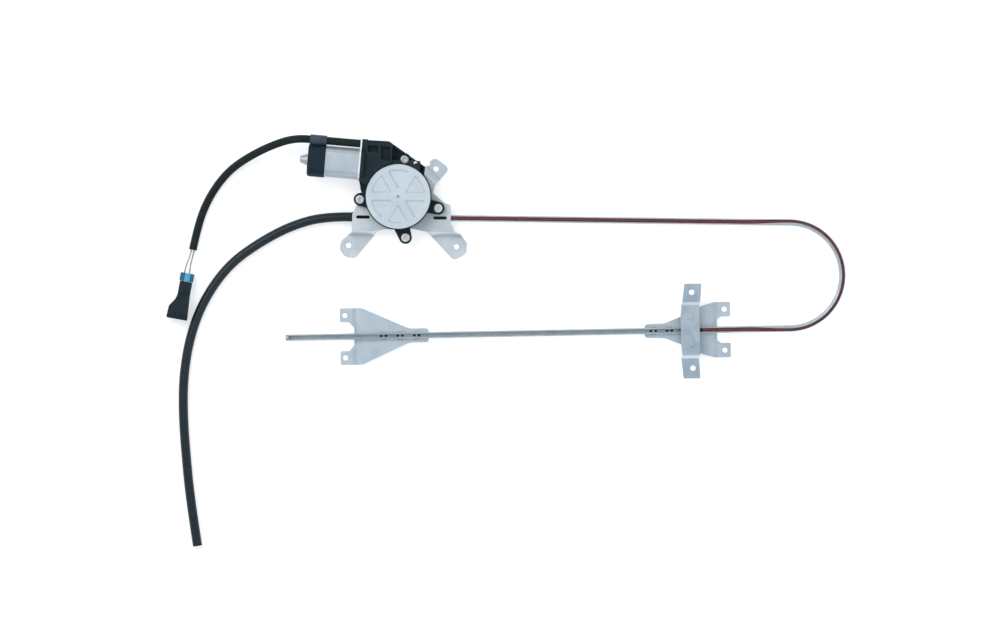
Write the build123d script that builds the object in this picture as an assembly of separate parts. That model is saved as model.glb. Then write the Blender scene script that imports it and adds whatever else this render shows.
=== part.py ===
from build123d import *
import os
from math import cos, degrees, pi, radians, sin, sqrt, tan

# Cable window regulator. A geared motor on a three-legged bracket drives a toothed cable
# through a slotted guide tube; the cable pushes a lift bracket along the lower run, the rail.
# Millimetres, +Z up. The origin is the centre of the lower left leg's hole, on the mounting
# plane. The rail runs along X.

# ---------------------------------------------------------------- driving dimensions
# Sheet metal
BRACKET_SHEET = 2.0
RAIL_SHEET = 1.5
LIFT_SHEET = 2.0
BEND_RADIUS = 2.6  # of a sheet's centre line

# Places
DRIVE_TURN = -1.8  # degrees from the rail to the upper run
AXIS_FROM_LEG_X = 61.6
AXIS_FROM_LEG_Y = 61.6
RAIL_Y = -114.0
BEND_X = 550.0
RAIL_END_X = -79.0
LIFT_X = 426.0
RAIL_PLATE_RISE = 4.0

# Guide tube and toothed cable
TUBE_RADIUS = 4.0
TUBE_WALL = 0.8
TUBE_SLOT = 4.4
CABLE_RADIUS = 2.5
CABLE_CORE_RADIUS = 1.75
CABLE_PITCH = 3.0
CABLE_RIDGE_ROOT = 1.3
CABLE_RIDGE_TIP = 0.8
CABLE_MESH_HALF = 28.5
SPROCKET_TEETH = 50
SPROCKET_THICKNESS = 5.0
SPROCKET_TOOTH_OUT = 0.25
SPROCKET_TOOTH_IN = 0.85
CABLE_END_HALF = 14.0
TONGUE_HALF = 6.0
PLUG_LENGTH = 14.0
WELD_PLACES = (41.8, 62.5, 83.2, 379.0, 399.0)  # along the rail
WELD_HALF = 4.0

# Clearances
RUNNING_FIT = 0.05
PRESS_FIT = 0.02
SLIDING_GAP = 0.3
SEAT_GAP = 0.05

# Motor bracket
LEG_HOLE_RADIUS = 3.3
LEFT_WING_X = -57.0
RIGHT_WING_X = 66.0
LEG_CREASE_Y = -45.2
LEG_RUN = 10.0  # plan length of a leg's slope
RIGHT_LEG_HOLE_X = 73.3
UPPER_LEG_HOLE = (46.6, 35.5)
WINDOW_SLOT = (17.0, 4.0)
LEFT_SLOT_X = -43.7
RIGHT_SLOT_X = 52.5
SCREW_PLACES = [(7.4, 46.3), (-47.6, -4.1), (50.0, -13.9), (9.7, -51.0)]

# Guide housing behind the bracket
COVER_SCREW_PLACES = [(-31.0, -8.0), (31.0, -8.0), (0.0, 32.0)]
COVER_SCREW_RADIUS = 2.0
COVER_SCREW_HEAD = 1.6
HOUSING_BOTTOM = 4.2
REAR_SHEET = 1.5
SPROCKET_POCKET_TOP = 12.6
GUIDE_WIDTH = 12.4
GUIDE_END_X = 62.0

# Gear train
COUPLER_PLATE = 2.0
COUPLER_RADIUS = 20.0
COUPLER_LUG_RADIUS = 2.8
LUG_RING = 14.5
HEX_RADIUS = 6.4
DAMPER_OUTER = 19.0
DAMPER_INNER = 9.0
DAMPER_THICKNESS = 5.0

# Gearbox
GEAR_RISE = 15.2  # of the worm's axis above the bracket
MOTOR_TILT = -4.2
WORM_DISTANCE = 36.2
WORM_PITCH_RADIUS = 5.0
WHEEL_TEETH = 60
TOOTH_ADDENDUM = 0.9
TOOTH_BACKLASH = 0.62
WHEEL_THICKNESS = 11.0
GEARBOX_FLOOR = 3.5
LUG_RADIUS = 8.0
LUG_HEIGHT = 8.2
CHAMBER_HEIGHT = 24.2
TOWER_RISE = 2.6  # of the worm's block above the chamber
TOWER_REACH = 30.4  # of the worm's block beyond the worm's axis
FLANGE_REACH = 21.0
GEARBOX_PIN_HOLE = (20.9, 42.1)
GEARBOX_PIN_RADIUS = 2.1
COVER_SHEET = 1.0
COVER_EMBOSS = 0.8
COVER_RIB = 9.4
AXLE_RADIUS = 3.5
HUB_RADIUS = 7.0
SCREW_RADIUS = 2.9
SCREW_HEAD_RADIUS = 5.4
SCREW_HEAD = 3.4

# Motor, along its own axis from the foot of the gear axis' perpendicular
CAN_RADIUS = 19.7
CAN_HEIGHT = 33.0
CAN_WALL = 1.3
CAN_START = -115.5
CAN_END = -50.2
CAN_FLANGE = 2.0
CAN_RIM = 1.2  # of the flange, beyond the can
SLEEVE_WALL = 1.0
SLEEVE_END = -94.5
BOSS_RADIUS = 8.0
BOSS_LENGTH = 10.5
SHAFT_RADIUS = 3.0
SHAFT_END = 22.0
BUSH_RADIUS = 7.2
BOSS_BUSH_RADIUS = 4.6
TUNNEL_RADIUS = 10.2
MAGNETS = (-106.0, -70.0)
CORE = (-103.0, -73.0)
CORE_RADIUS = 14.0
WINDING_RADIUS = 12.2
COMMUTATOR = (-65.5, -56.5)
COMMUTATOR_RADIUS = 7.0
WORM_HALF = 13.0

# Lead, hose and connector
CONDUIT_RADIUS = 5.0
LEAD_RISE = 6.0
HOSE_RADIUS = 5.8
HOSE_START_X = -58.2
WIRE_RADIUS = 0.9
CONNECTOR_PLACE = (-202.3, -30.6)
CONNECTOR_TURN = -101.5
CONNECTOR_LENGTH = 59.0
MOUTH_DEPTH = 18.0
NECK_START = 11.0
TERMINAL_ROWS = (-3.2, 3.2)
TERMINAL_Z = 8.0
TERMINAL_START = 16.02
WIRE_HOLE = 1.7
LOCK_STRETCH = (0.3, 10.6)

# Rail brackets and lift bracket, about the rail's axis
LEFT_BRACKET_HOLE_X = -6.3
LEFT_BRACKET_HOLE_SPACING = 53.0
RIGHT_BRACKET_HOLE_X = 468.0
RIGHT_BRACKET_HOLE_SPACING = 51.4
RAIL_HOLE_RADIUS = 3.2
LIFT_HOLE_SPACING = 94.7
LIFT_HOLE_RADIUS = 3.4
LIFT_STEP = 4.0
RIVET_SPACING = 34.0
RIVET_RADIUS = 2.0
SLIDER_FLANGE = 3.0
SLIDER_LENGTH = 33.5

# ---------------------------------------------------------------- worked out from them
RAIL_PLATE_TOP = RAIL_PLATE_RISE + RAIL_SHEET
TUBE_Z = RAIL_PLATE_TOP + SEAT_GAP + TUBE_RADIUS
BRACKET_Z = TUBE_Z + TUBE_RADIUS + SLIDING_GAP
BRACKET_TOP = BRACKET_Z + BRACKET_SHEET
GEAR_Z = BRACKET_TOP + GEAR_RISE
CHAMBER_TOP = BRACKET_TOP + CHAMBER_HEIGHT
LUG_TOP = BRACKET_TOP + LUG_HEIGHT
TOWER_TOP = CHAMBER_TOP + TOWER_RISE
SPROCKET_RADIUS = CABLE_PITCH * SPROCKET_TEETH / (2 * pi)
RIDGE_RADIUS = (CABLE_RADIUS + CABLE_CORE_RADIUS) / 2
CABLE_OFFSET = SPROCKET_RADIUS + RIDGE_RADIUS
SPROCKET_TIP = SPROCKET_RADIUS + SPROCKET_TOOTH_OUT
SPROCKET_POCKET = SPROCKET_RADIUS + 2.1
WHEEL_RADIUS = WORM_DISTANCE - WORM_PITCH_RADIUS
WHEEL_MODULE = 2 * WHEEL_RADIUS / WHEEL_TEETH
CHAMBER_RADIUS = WHEEL_RADIUS + TOOTH_ADDENDUM + 1.9
GEARBOX_RADIUS = CHAMBER_RADIUS + 7.6
COVER_RADIUS = GEARBOX_RADIUS - 1.6
PLATE_RADIUS = GEARBOX_RADIUS + 1.4
LEAD_SIDE = sqrt((CAN_RADIUS + CAN_RIM) ** 2 - LEAD_RISE ** 2) + CONDUIT_RADIUS + 0.38
TUBE_START_X = CABLE_MESH_HALF + 1.5  # where the tube's end sits in the guide housing
LIFT_Z = TUBE_Z + TUBE_RADIUS + SLIDING_GAP + 3.2

DRIVE = Rot(0, 0, DRIVE_TURN) * Pos(AXIS_FROM_LEG_X, AXIS_FROM_LEG_Y, 0)
DRIVE_TUBE = DRIVE * Pos(0, -CABLE_OFFSET, TUBE_Z)
RAIL = Pos(0, RAIL_Y, TUBE_Z)
MOTOR_IN_DRIVE = Pos(0, 0, GEAR_Z) * Rot(0, 0, MOTOR_TILT) * Pos(0, WORM_DISTANCE, 0)
MOTOR = DRIVE * MOTOR_IN_DRIVE
CONNECTOR = Pos(*CONNECTOR_PLACE, 0) * Rot(0, 0, CONNECTOR_TURN)

# The bend is the arc that is tangent to the upper run and the rail.
RUN_START = DRIVE_TUBE.position
RUN_SLOPE = tan(radians(DRIVE_TURN))
RUN_Y_AT_BEND = RUN_START.Y + RUN_SLOPE * (BEND_X - RUN_START.X)
RUN_COS = cos(radians(DRIVE_TURN))
TUBE_BEND = (RUN_Y_AT_BEND - RAIL_Y) * RUN_COS / (1 + RUN_COS)
BEND_CENTRE = (BEND_X, RAIL_Y + TUBE_BEND)
UPPER_RUN_END = (BEND_X - RUN_START.X) / RUN_COS - TUBE_BEND * tan(radians(DRIVE_TURN))
BEND_ARC = 180 + DRIVE_TURN

MIN = (Align.CENTER, Align.CENTER, Align.MIN)


# ---------------------------------------------------------------- forms
def disc(radius, bottom, top, bore=0.0):
    """Upright cylinder or ring."""
    solid = Pos(0, 0, bottom) * Cylinder(radius, top - bottom, align=MIN)
    if bore:
        solid -= Pos(0, 0, bottom) * Cylinder(bore, top - bottom, align=MIN)
    return solid


def bar(radius, start, end, bore=0.0):
    """Cylinder or ring along X."""
    return Rot(0, 90, 0) * disc(radius, start, end, bore)


def block(x, y, z):
    """Box between two values along each axis."""
    size = (x[1] - x[0], y[1] - y[0], z[1] - z[0])
    return Pos((x[0] + x[1]) / 2, (y[0] + y[1]) / 2, (z[0] + z[1]) / 2) * Box(*size)


def prism(sketch, bottom, top):
    """A flat outline made solid between two heights."""
    return extrude(Pos(0, 0, bottom) * sketch, top - bottom, dir=(0, 0, 1))


def along_x(sketch, start, end):
    """An outline drawn in Y and Z made solid along X."""
    return extrude(Pos(start, 0, 0) * (Plane.YZ * sketch), end - start, dir=(1, 0, 0))


def outline(corners):
    """Closed outline from corners (x, y, corner radius)."""
    face = make_face(Polyline(*[(x, y) for x, y, _ in corners], close=True))
    for x, y, radius in corners:
        if radius:
            corner = face.vertices().sort_by_distance((x, y, 0))[0]
            face = fillet(corner, radius)
    return face


def mirrored(corners):
    """The corners, then the same ones across the X axis in reverse order."""
    return corners + [(x, -y, radius) for x, y, radius in reversed(corners)]


def bent_sheet(points, thickness, width):
    """Sheet of one thickness that follows points (x, z of its centre line)."""
    line = FilletPolyline(*points, radius=BEND_RADIUS)
    section = trace(line, thickness)
    return extrude(Plane.XZ * section, width / 2, both=True)


def toothed_wheel(root, tip, teeth, root_width, tip_width, thickness, lean):
    """Wheel whose straight teeth lean by an angle over its thickness, about Z = 0."""
    corners = []
    for tooth in range(teeth):
        middle = 2 * pi * tooth / teeth - pi / 2
        for radius, half in ((root, -root_width / 2), (tip, -tip_width / 2),
                             (tip, tip_width / 2), (root, root_width / 2)):
            angle = middle + half / radius
            corners.append((radius * cos(angle), radius * sin(angle)))
    face = make_face(Polyline(*corners, close=True))
    lower = Pos(0, 0, -thickness / 2) * Rot(0, 0, -lean / 2) * face
    upper = Pos(0, 0, thickness / 2) * Rot(0, 0, lean / 2) * face
    return loft([lower, upper], ruled=True)


def helix_ridge(turns, pitch, inner, outer, inner_width, outer_width, side):
    """Right-handed ridge round the X axis with a gap at X = 0 on one side.

    The side is an angle about X from +Z: 90 for -Y and -90 for +Y.
    """
    start = -turns * pitch / 2
    phase = side - 360 * (0.5 + turns / 2)
    path = Helix(pitch, pitch * turns, inner)
    section = make_face(Polyline((-0.15, -inner_width / 2), (outer - inner, -outer_width / 2),
                                 (outer - inner, outer_width / 2), (-0.15, inner_width / 2),
                                 close=True))
    place = Plane(origin=path @ 0, x_dir=(1, 0, 0), z_dir=path % 0)
    ridge = sweep(place * section, path, is_frenet=True)
    return Pos(start, 0, 0) * Rot(phase, 0, 0) * Rot(0, 90, 0) * Rot(0, 0, 180) * ridge


def tube_section(radius, bore, slot):
    """Ring with a slot in its upper side, drawn in Y and Z."""
    ring = Circle(radius) - Circle(bore)
    if slot:
        ring -= Pos(0, radius) * Rectangle(slot, 2 * radius)
    return ring


def bend_of(section):
    """The section turned round the bend, from the upper run to the rail."""
    spin = Axis((*BEND_CENTRE, 0), (0, 0, 1))
    at_rail = Pos(BEND_X, RAIL_Y, TUBE_Z) * (Plane.YZ * section)
    return revolve(at_rail, axis=spin, revolution_arc=BEND_ARC)


def route(points):
    """Cord route of straight runs joined by the largest tangent arcs they allow."""
    places = [Vector(*point) for point in points]
    radii = []
    for before, corner, after in zip(places, places[1:], places[2:]):
        run_in, run_out = corner - before, after - corner
        turn = run_in.get_angle(run_out)
        shorter = min(run_in.length, run_out.length)
        radii.append(0.45 * shorter / tan(radians(turn / 2)))
    return FilletPolyline(*points, radius=radii), radii


def cord(name, points, radius):
    """Tube along a cord's route; prints its length, radii and volume share."""
    path, radii = route(points)
    section = Plane(origin=path @ 0, z_dir=path % 0) * Circle(radius)
    tube = sweep(section, path)
    share = tube.volume / (pi * radius ** 2 * path.length)
    print(name, "length", round(path.length, 1), "volume share", round(share, 4),
          "radii", [round(r) for r in radii])
    return tube


# ---------------------------------------------------------------- guide tube and cable
def guide_tube():
    section = tube_section(TUBE_RADIUS, TUBE_RADIUS - TUBE_WALL, TUBE_SLOT)
    upper = DRIVE_TUBE * along_x(section, TUBE_START_X, UPPER_RUN_END)
    rail = RAIL * along_x(section, RAIL_END_X, BEND_X)
    return upper + bend_of(section) + rail


def tube_end_plug():
    """Pressed into the rail's open end; it stops the slider and keeps dirt out."""
    inner = TUBE_RADIUS - TUBE_WALL - PRESS_FIT
    plug = bar(inner, RAIL_END_X, RAIL_END_X + PLUG_LENGTH)
    plug += bar(TUBE_RADIUS, RAIL_END_X - 1.6, RAIL_END_X)
    stretch = (RAIL_END_X, RAIL_END_X + PLUG_LENGTH)
    lip = block(stretch, (-TUBE_SLOT / 2 + SEAT_GAP, TUBE_SLOT / 2 - SEAT_GAP), (0, TUBE_RADIUS))
    return RAIL * (plug + (lip & bar(TUBE_RADIUS, *stretch)))


def cable_at_sprocket():
    """The cable's stretch in the guide housing, with its teeth where the sprocket bites."""
    core = bar(CABLE_CORE_RADIUS, HOSE_START_X, TUBE_START_X)
    for start, end in ((HOSE_START_X, -CABLE_MESH_HALF - 0.5), (CABLE_MESH_HALF + 0.5, TUBE_START_X)):
        core += bar(CABLE_RADIUS, start, end)
    turns = 2 * CABLE_MESH_HALF / CABLE_PITCH
    ridge = helix_ridge(turns, CABLE_PITCH, CABLE_CORE_RADIUS, CABLE_RADIUS, CABLE_RIDGE_ROOT,
                        CABLE_RIDGE_TIP, -90)
    return DRIVE_TUBE * (core + ridge)


def cable_in_tube():
    """The stretch through the upper run and the bend."""
    upper = DRIVE_TUBE * bar(CABLE_RADIUS, TUBE_START_X, UPPER_RUN_END)
    return upper + bend_of(Circle(CABLE_RADIUS))


def cable_in_rail():
    """The stretch from the bend to the lift bracket; it grows as the bracket moves away."""
    return RAIL * bar(CABLE_RADIUS, LIFT_X + CABLE_END_HALF, BEND_X)


def cable_end():
    """Sleeve crimped on the cable's end, with the tongue that carries the slider."""
    half = CABLE_END_HALF
    sleeve = bar(CABLE_RADIUS + 0.25, LIFT_X - half, LIFT_X + half)
    top = TUBE_RADIUS + SLIDING_GAP + 1.6
    tongue = block((LIFT_X - TONGUE_HALF, LIFT_X + TONGUE_HALF),
                   (-TUBE_SLOT / 2 + 0.5, TUBE_SLOT / 2 - 0.5), (0, top))
    return RAIL * (sleeve + tongue)


# ---------------------------------------------------------------- lift bracket and slider
def slider():
    """Plastic shoe that straddles the tube and grips it below its widest line."""
    bore = TUBE_RADIUS + SLIDING_GAP
    top = LIFT_Z - TUBE_Z
    saddle = along_x(outline([(-6.2, -2.4, 0), (6.2, -2.4, 0), (6.2, top, 0), (-6.2, top, 0)]),
                     LIFT_X - SLIDER_LENGTH / 2, LIFT_X + SLIDER_LENGTH / 2)
    flange = block((LIFT_X - 10, LIFT_X + 10), (-22, 22), (top - SLIDER_FLANGE, top))
    shoe = saddle + flange
    shoe -= bar(bore, LIFT_X - SLIDER_LENGTH, LIFT_X + SLIDER_LENGTH)
    pocket = block((LIFT_X - TONGUE_HALF - PRESS_FIT, LIFT_X + TONGUE_HALF + PRESS_FIT),
                   (-TUBE_SLOT / 2 + 0.4, TUBE_SLOT / 2 - 0.4), (0, bore + 1.7))
    for side in (-1, 1):
        shoe -= Pos(LIFT_X, side * RIVET_SPACING / 2, 0) * disc(RIVET_RADIUS + PRESS_FIT, 0, top)
    return RAIL * (shoe - pocket)


def lift_bracket():
    """Cross plate with a stepped-up tab at each end for the glass channel."""
    middle = LIFT_SHEET / 2
    profile = [(-70, middle + LIFT_STEP), (-35.3, middle + LIFT_STEP), (-31.8, middle),
               (31.8, middle), (35.3, middle + LIFT_STEP), (70, middle + LIFT_STEP)]
    line = FilletPolyline(*profile, radius=1.6)
    sheet = extrude(Plane.YZ * trace(line, LIFT_SHEET), 20, both=True)
    half = LIFT_HOLE_SPACING / 2
    end = half + 12.9
    plan = outline([(-8.0, -end, 1.5), (13.0, -end, 1.5), (11.6, -33, 0), (11.6, 33, 0),
                    (14.0, end, 1.5), (-7.6, end, 1.5), (-10.6, 33, 2), (-12.2, 14, 8),
                    (-12.2, -14, 8), (-10.6, -33, 2)])
    plan -= Pos(1.4, half) * Circle(LIFT_HOLE_RADIUS)
    plan -= Pos(1.4, -half) * Circle(LIFT_HOLE_RADIUS)
    for side in (-1, 1):
        plan -= Pos(0, side * RIVET_SPACING / 2) * Circle(RIVET_RADIUS + PRESS_FIT)
    bracket = sheet & prism(plan, -2, 10)
    return Pos(LIFT_X, RAIL_Y, LIFT_Z) * bracket


def lift_rivets():
    """Two rivets that clamp the slider under the lift bracket."""
    top = LIFT_Z + LIFT_SHEET
    under = LIFT_Z - SLIDER_FLANGE
    rivet = disc(RIVET_RADIUS, under, top) + disc(RIVET_RADIUS + 1.4, top, top + 1.2)
    rivet += disc(RIVET_RADIUS + 1.2, under - 1.2, under)
    return [Pos(LIFT_X, RAIL_Y + side * RIVET_SPACING / 2, 0) * rivet for side in (-1, 1)]


# ---------------------------------------------------------------- rail brackets
def rail_bracket(step_from, step_to, ear_side, corners, holes):
    """Ears on the mounting plane, a step up, and a neck under the tube."""
    low, high = RAIL_SHEET / 2, RAIL_PLATE_RISE + RAIL_SHEET / 2
    reach = 150 * ear_side
    profile = [(step_from + reach, low), (step_from, low), (step_to, high), (step_to - reach, high)]
    if ear_side > 0:
        profile.reverse()
    sheet = bent_sheet(profile, RAIL_SHEET, 90)
    plan = outline(corners)
    for x, y in holes:
        plan -= Pos(x, y) * Circle(RAIL_HOLE_RADIUS)
    return Pos(0, RAIL_Y, 0) * (sheet & prism(plan, -1, RAIL_PLATE_TOP + 2))


def weld_beads():
    """Fillet welds between the tube's sides and the neck below it."""
    beads = []
    for x in WELD_PLACES:
        stretch = (x - WELD_HALF, x + WELD_HALF)
        strip = block(stretch, (2.4, 4.6), (-TUBE_RADIUS - SEAT_GAP, -TUBE_RADIUS + 1.1))
        bead = strip - bar(TUBE_RADIUS, *stretch)
        beads += [RAIL * bead, RAIL * mirror(bead, Plane.XZ)]
    return beads


def rail_bracket_left():
    half = LEFT_BRACKET_HOLE_SPACING / 2
    x = LEFT_BRACKET_HOLE_X
    corners = mirrored([(x - 6.2, half + 9.0, 2), (x + 21.5, half + 8.8, 6), (70.5, 10.4, 8),
                        (76, 8.8, 0), (98, 8.8, 3)])
    corners += [(x - 6.2, -half + 8.4, 2), (x + 4.6, -half + 8.4, 3), (x + 11.5, -half + 15.5, 3),
                (x + 11.5, half - 15.5, 3), (x + 4.6, half - 8.4, 3), (x - 6.2, half - 8.4, 2)]
    return rail_bracket(x + 9.0, x + 15.7, -1, corners, [(x, half), (x, -half)])


def rail_bracket_right():
    half = RIGHT_BRACKET_HOLE_SPACING / 2
    x = RIGHT_BRACKET_HOLE_X
    corners = [(x + 7.4, half - 9.2, 2), (x + 7.4, half + 9.0, 2), (x - 12, half + 9.0, 5),
               (x - 29, 30, 5), (x - 54, 17.6, 10), (x - 75, 9.2, 10), (x - 100, 8.4, 4),
               (x - 100, -8.4, 4), (x - 75, -9.2, 10), (x - 54, -17.6, 10), (x - 29, -30, 5),
               (x - 12, -half - 9.0, 5), (x + 7.4, -half - 9.0, 2), (x + 7.4, -half + 9.2, 2),
               (x - 4.0, -half + 9.2, 2), (x - 9.3, -half + 12.5, 2), (x - 9.3, half - 12.5, 2),
               (x - 4.0, half - 9.2, 2)]
    return rail_bracket(x - 8.6, x - 15.3, 1, corners, [(x, half), (x, -half)])


# ---------------------------------------------------------------- motor bracket
def leg_corners(side):
    """Plan of a lower leg beyond its crease, from its hole; side -1 is the left one."""
    return [(side * -3.9, 16.6, 0), (side * 11.8, -0.9, 8), (side * -4.6, -16.4, 6),
            (side * -30.9, 15.8, 0), (side * -34, 25, 0), (side * -3.9, 25, 0)]


def motor_bracket():
    """Flat plate with two window slots, on three bent legs that bolt to the door."""
    low, high = BRACKET_SHEET / 2, BRACKET_Z + BRACKET_SHEET / 2
    crease = LEG_CREASE_Y
    profile = [(-110, low), (crease - LEG_RUN, low), (crease, high), (60, high)]
    line = FilletPolyline(*profile, radius=BEND_RADIUS)
    sheet = extrude(Plane.YZ * trace(line, BRACKET_SHEET), 100, both=True)

    plate = outline([(LEFT_WING_X - 0.8, crease, 0), (LEFT_WING_X, -22, 4), (-52.5, -13.5, 4),
                     (-41, 6, 0), (0, 20, 0), (33.5, 27, 0), (46, 14.8, 0), (43.5, 5.2, 2),
                     (57.7, -6.9, 2), (RIGHT_WING_X, -10, 3), (RIGHT_WING_X, -31, 10),
                     (RIGHT_WING_X + 5.2, crease + 0.4, 0), (44, crease - 0.1, 0),
                     (19, -40, 20), (-18.4, -41, 20), (-30.8, crease - 0.5, 0)])
    plate += Circle(PLATE_RADIUS) & Pos(0, 12) * Rectangle(2 * PLATE_RADIUS, 106)
    for x, y in SCREW_PLACES:
        plate += make_hull([*(Pos(x, y) * Circle(LUG_RADIUS - 1)).edges(), *Circle(12).edges()])
    for side, hole_x in ((-1, -AXIS_FROM_LEG_X), (1, RIGHT_LEG_HOLE_X)):
        plate += Pos(hole_x, -AXIS_FROM_LEG_Y) * outline(leg_corners(side))
        plate -= Pos(hole_x, -AXIS_FROM_LEG_Y) * Circle(LEG_HOLE_RADIUS)
    for x, y in SCREW_PLACES:
        plate -= Pos(x, y) * Circle(SCREW_RADIUS + 0.1)
    for x in (LEFT_SLOT_X, RIGHT_SLOT_X):
        plate -= Pos(x, -CABLE_OFFSET) * SlotOverall(*WINDOW_SLOT)
    for x, y in COVER_SCREW_PLACES:
        plate -= Pos(x, y) * Circle(COVER_SCREW_RADIUS + 0.05)
    plate -= Circle(HUB_RADIUS + 3)
    body = sheet & prism(plate, -1, BRACKET_TOP + 1)

    out = [(-12, high), (0, high), (LEG_RUN, low), (60, low)]
    upper = Pos(39.75, 20.9, 0) * Rot(0, 0, 45.7) * bent_sheet(out, BRACKET_SHEET, 60)
    x, y = UPPER_LEG_HOLE
    foot = outline([(x - 13.6, y - 9, 0), (x - 13.7, y + 2.8, 1), (x - 6.6, y + 4.5, 1),
                    (x - 8.4, y + 8.5, 2), (x - 1.6, y + 14.4, 6), (x + 17.4, y + 0.8, 6),
                    (x - 0.6, y - 20.7, 0)])
    foot -= Pos(x, y) * Circle(LEG_HOLE_RADIUS)
    return DRIVE * (body + (upper & prism(foot, -1, BRACKET_TOP + 1)))


# ---------------------------------------------------------------- guide housing, rear side
def guide_outline():
    """Rounded triangle about the sprocket, with the cable's channel across it."""
    rings = [*Circle(SPROCKET_POCKET + 2.4).edges()]
    for x, y in COVER_SCREW_PLACES:
        rings += (Pos(x, y) * Circle(COVER_SCREW_RADIUS + 3.2)).edges()
    length = GUIDE_END_X - HOSE_START_X
    channel = Pos(GUIDE_END_X - length / 2, -CABLE_OFFSET) * Rectangle(length, GUIDE_WIDTH)
    return make_hull(rings) + channel


def guide_housing():
    """Plastic housing that holds the sprocket and leads the cable past it into the tube."""
    body = prism(guide_outline(), HOUSING_BOTTOM, BRACKET_Z)
    body -= disc(SPROCKET_POCKET, HOUSING_BOTTOM, SPROCKET_POCKET_TOP)
    body -= disc(HUB_RADIUS + 0.8, HOUSING_BOTTOM, BRACKET_Z)
    channel = Pos(0, -CABLE_OFFSET, TUBE_Z)
    body -= channel * bar(CABLE_RADIUS + SLIDING_GAP, -80, 80)
    body -= channel * bar(TUBE_RADIUS + SEAT_GAP, TUBE_START_X, 80)
    window = (LEFT_SLOT_X - WINDOW_SLOT[0] / 2, LEFT_SLOT_X + WINDOW_SLOT[0] / 2)
    body -= channel * block(window, (-WINDOW_SLOT[1] / 2, WINDOW_SLOT[1] / 2), (0, 10))
    for x, y in COVER_SCREW_PLACES:
        body -= Pos(x, y) * disc(COVER_SCREW_RADIUS + PRESS_FIT, 0, 20)
    return DRIVE * body


def rear_cover():
    """Steel plate that closes the guide housing from behind and steadies the axle."""
    plate = prism(guide_outline(), HOUSING_BOTTOM - REAR_SHEET, HOUSING_BOTTOM)
    plate -= disc(AXLE_RADIUS + PRESS_FIT, 0, 10)
    for x, y in COVER_SCREW_PLACES:
        plate -= Pos(x, y) * disc(COVER_SCREW_RADIUS + PRESS_FIT, 0, 20)
    return DRIVE * plate


def rear_cover_screws():
    """Three screws through cover and housing into the bracket."""
    head_top = HOUSING_BOTTOM - REAR_SHEET
    screw = disc(COVER_SCREW_RADIUS, head_top, BRACKET_TOP - 0.2)
    screw += disc(COVER_SCREW_RADIUS + 1.9, head_top - COVER_SCREW_HEAD, head_top)
    screw -= Pos(0, 0, head_top - COVER_SCREW_HEAD) * Box(5, 0.9, 1.4)
    return [DRIVE * Pos(x, y, 0) * screw for x, y in COVER_SCREW_PLACES]


# ---------------------------------------------------------------- gear train
def axle_pin():
    """Fixed pin that the whole gear train turns on."""
    pin = disc(AXLE_RADIUS, HOUSING_BOTTOM - REAR_SHEET - 1.0, CHAMBER_TOP - 2.4)
    return DRIVE * chamfer(pin.edges().group_by(Axis.Z)[-1], 0.6)


def drive_sprocket():
    """Steel sprocket whose leaning teeth bite into the cable's helix."""
    lean = degrees(CABLE_PITCH / (2 * pi * RIDGE_RADIUS) * SPROCKET_THICKNESS / SPROCKET_RADIUS)
    gap = CABLE_PITCH - (CABLE_RIDGE_ROOT + CABLE_RIDGE_TIP) / 2
    wheel = toothed_wheel(SPROCKET_RADIUS - SPROCKET_TOOTH_IN, SPROCKET_TIP, SPROCKET_TEETH,
                          gap - 0.35, gap - 1.15, SPROCKET_THICKNESS, lean)
    wheel = Pos(0, 0, TUBE_Z) * wheel
    half = SPROCKET_THICKNESS / 2
    for bottom in (TUBE_Z - half, TUBE_Z + half - 1.4):
        wheel -= disc(SPROCKET_RADIUS - 3.4, bottom, bottom + 1.4, bore=HEX_RADIUS + 4.1)
    for hole in PolarLocations((SPROCKET_RADIUS + HEX_RADIUS + 0.7) / 2, 5):
        wheel -= hole * disc(3.2, 0, 20)
    hexagon = RegularPolygon(HEX_RADIUS + SEAT_GAP, 6)
    return DRIVE * (wheel - prism(hexagon, 0, 20))


def drive_coupler():
    """Steel plate with three lugs in the worm wheel and a hub down to the sprocket."""
    bottom = BRACKET_TOP + GEARBOX_FLOOR + 0.5
    plate = disc(COUPLER_RADIUS, bottom, bottom + COUPLER_PLATE)
    for place in PolarLocations(LUG_RING, 3):
        plate += place * disc(COUPLER_LUG_RADIUS, bottom, GEAR_Z + 1)
    hub = disc(HUB_RADIUS, TUBE_Z + SPROCKET_THICKNESS / 2 + 0.1, bottom)
    hub += prism(RegularPolygon(HEX_RADIUS, 6), TUBE_Z - SPROCKET_THICKNESS / 2, TUBE_Z + 3)
    return DRIVE * (plate + hub - disc(AXLE_RADIUS + RUNNING_FIT, 0, GEAR_Z))


def coupler_damper():
    """Rubber buffer between the coupler's lugs and the worm wheel."""
    bottom = GEAR_Z - WHEEL_THICKNESS / 2
    ring = disc(DAMPER_OUTER, bottom, bottom + DAMPER_THICKNESS, bore=DAMPER_INNER)
    for place in PolarLocations(LUG_RING, 3):
        ring -= place * disc(COUPLER_LUG_RADIUS + PRESS_FIT, 0, CHAMBER_TOP)
    return DRIVE * ring


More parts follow.
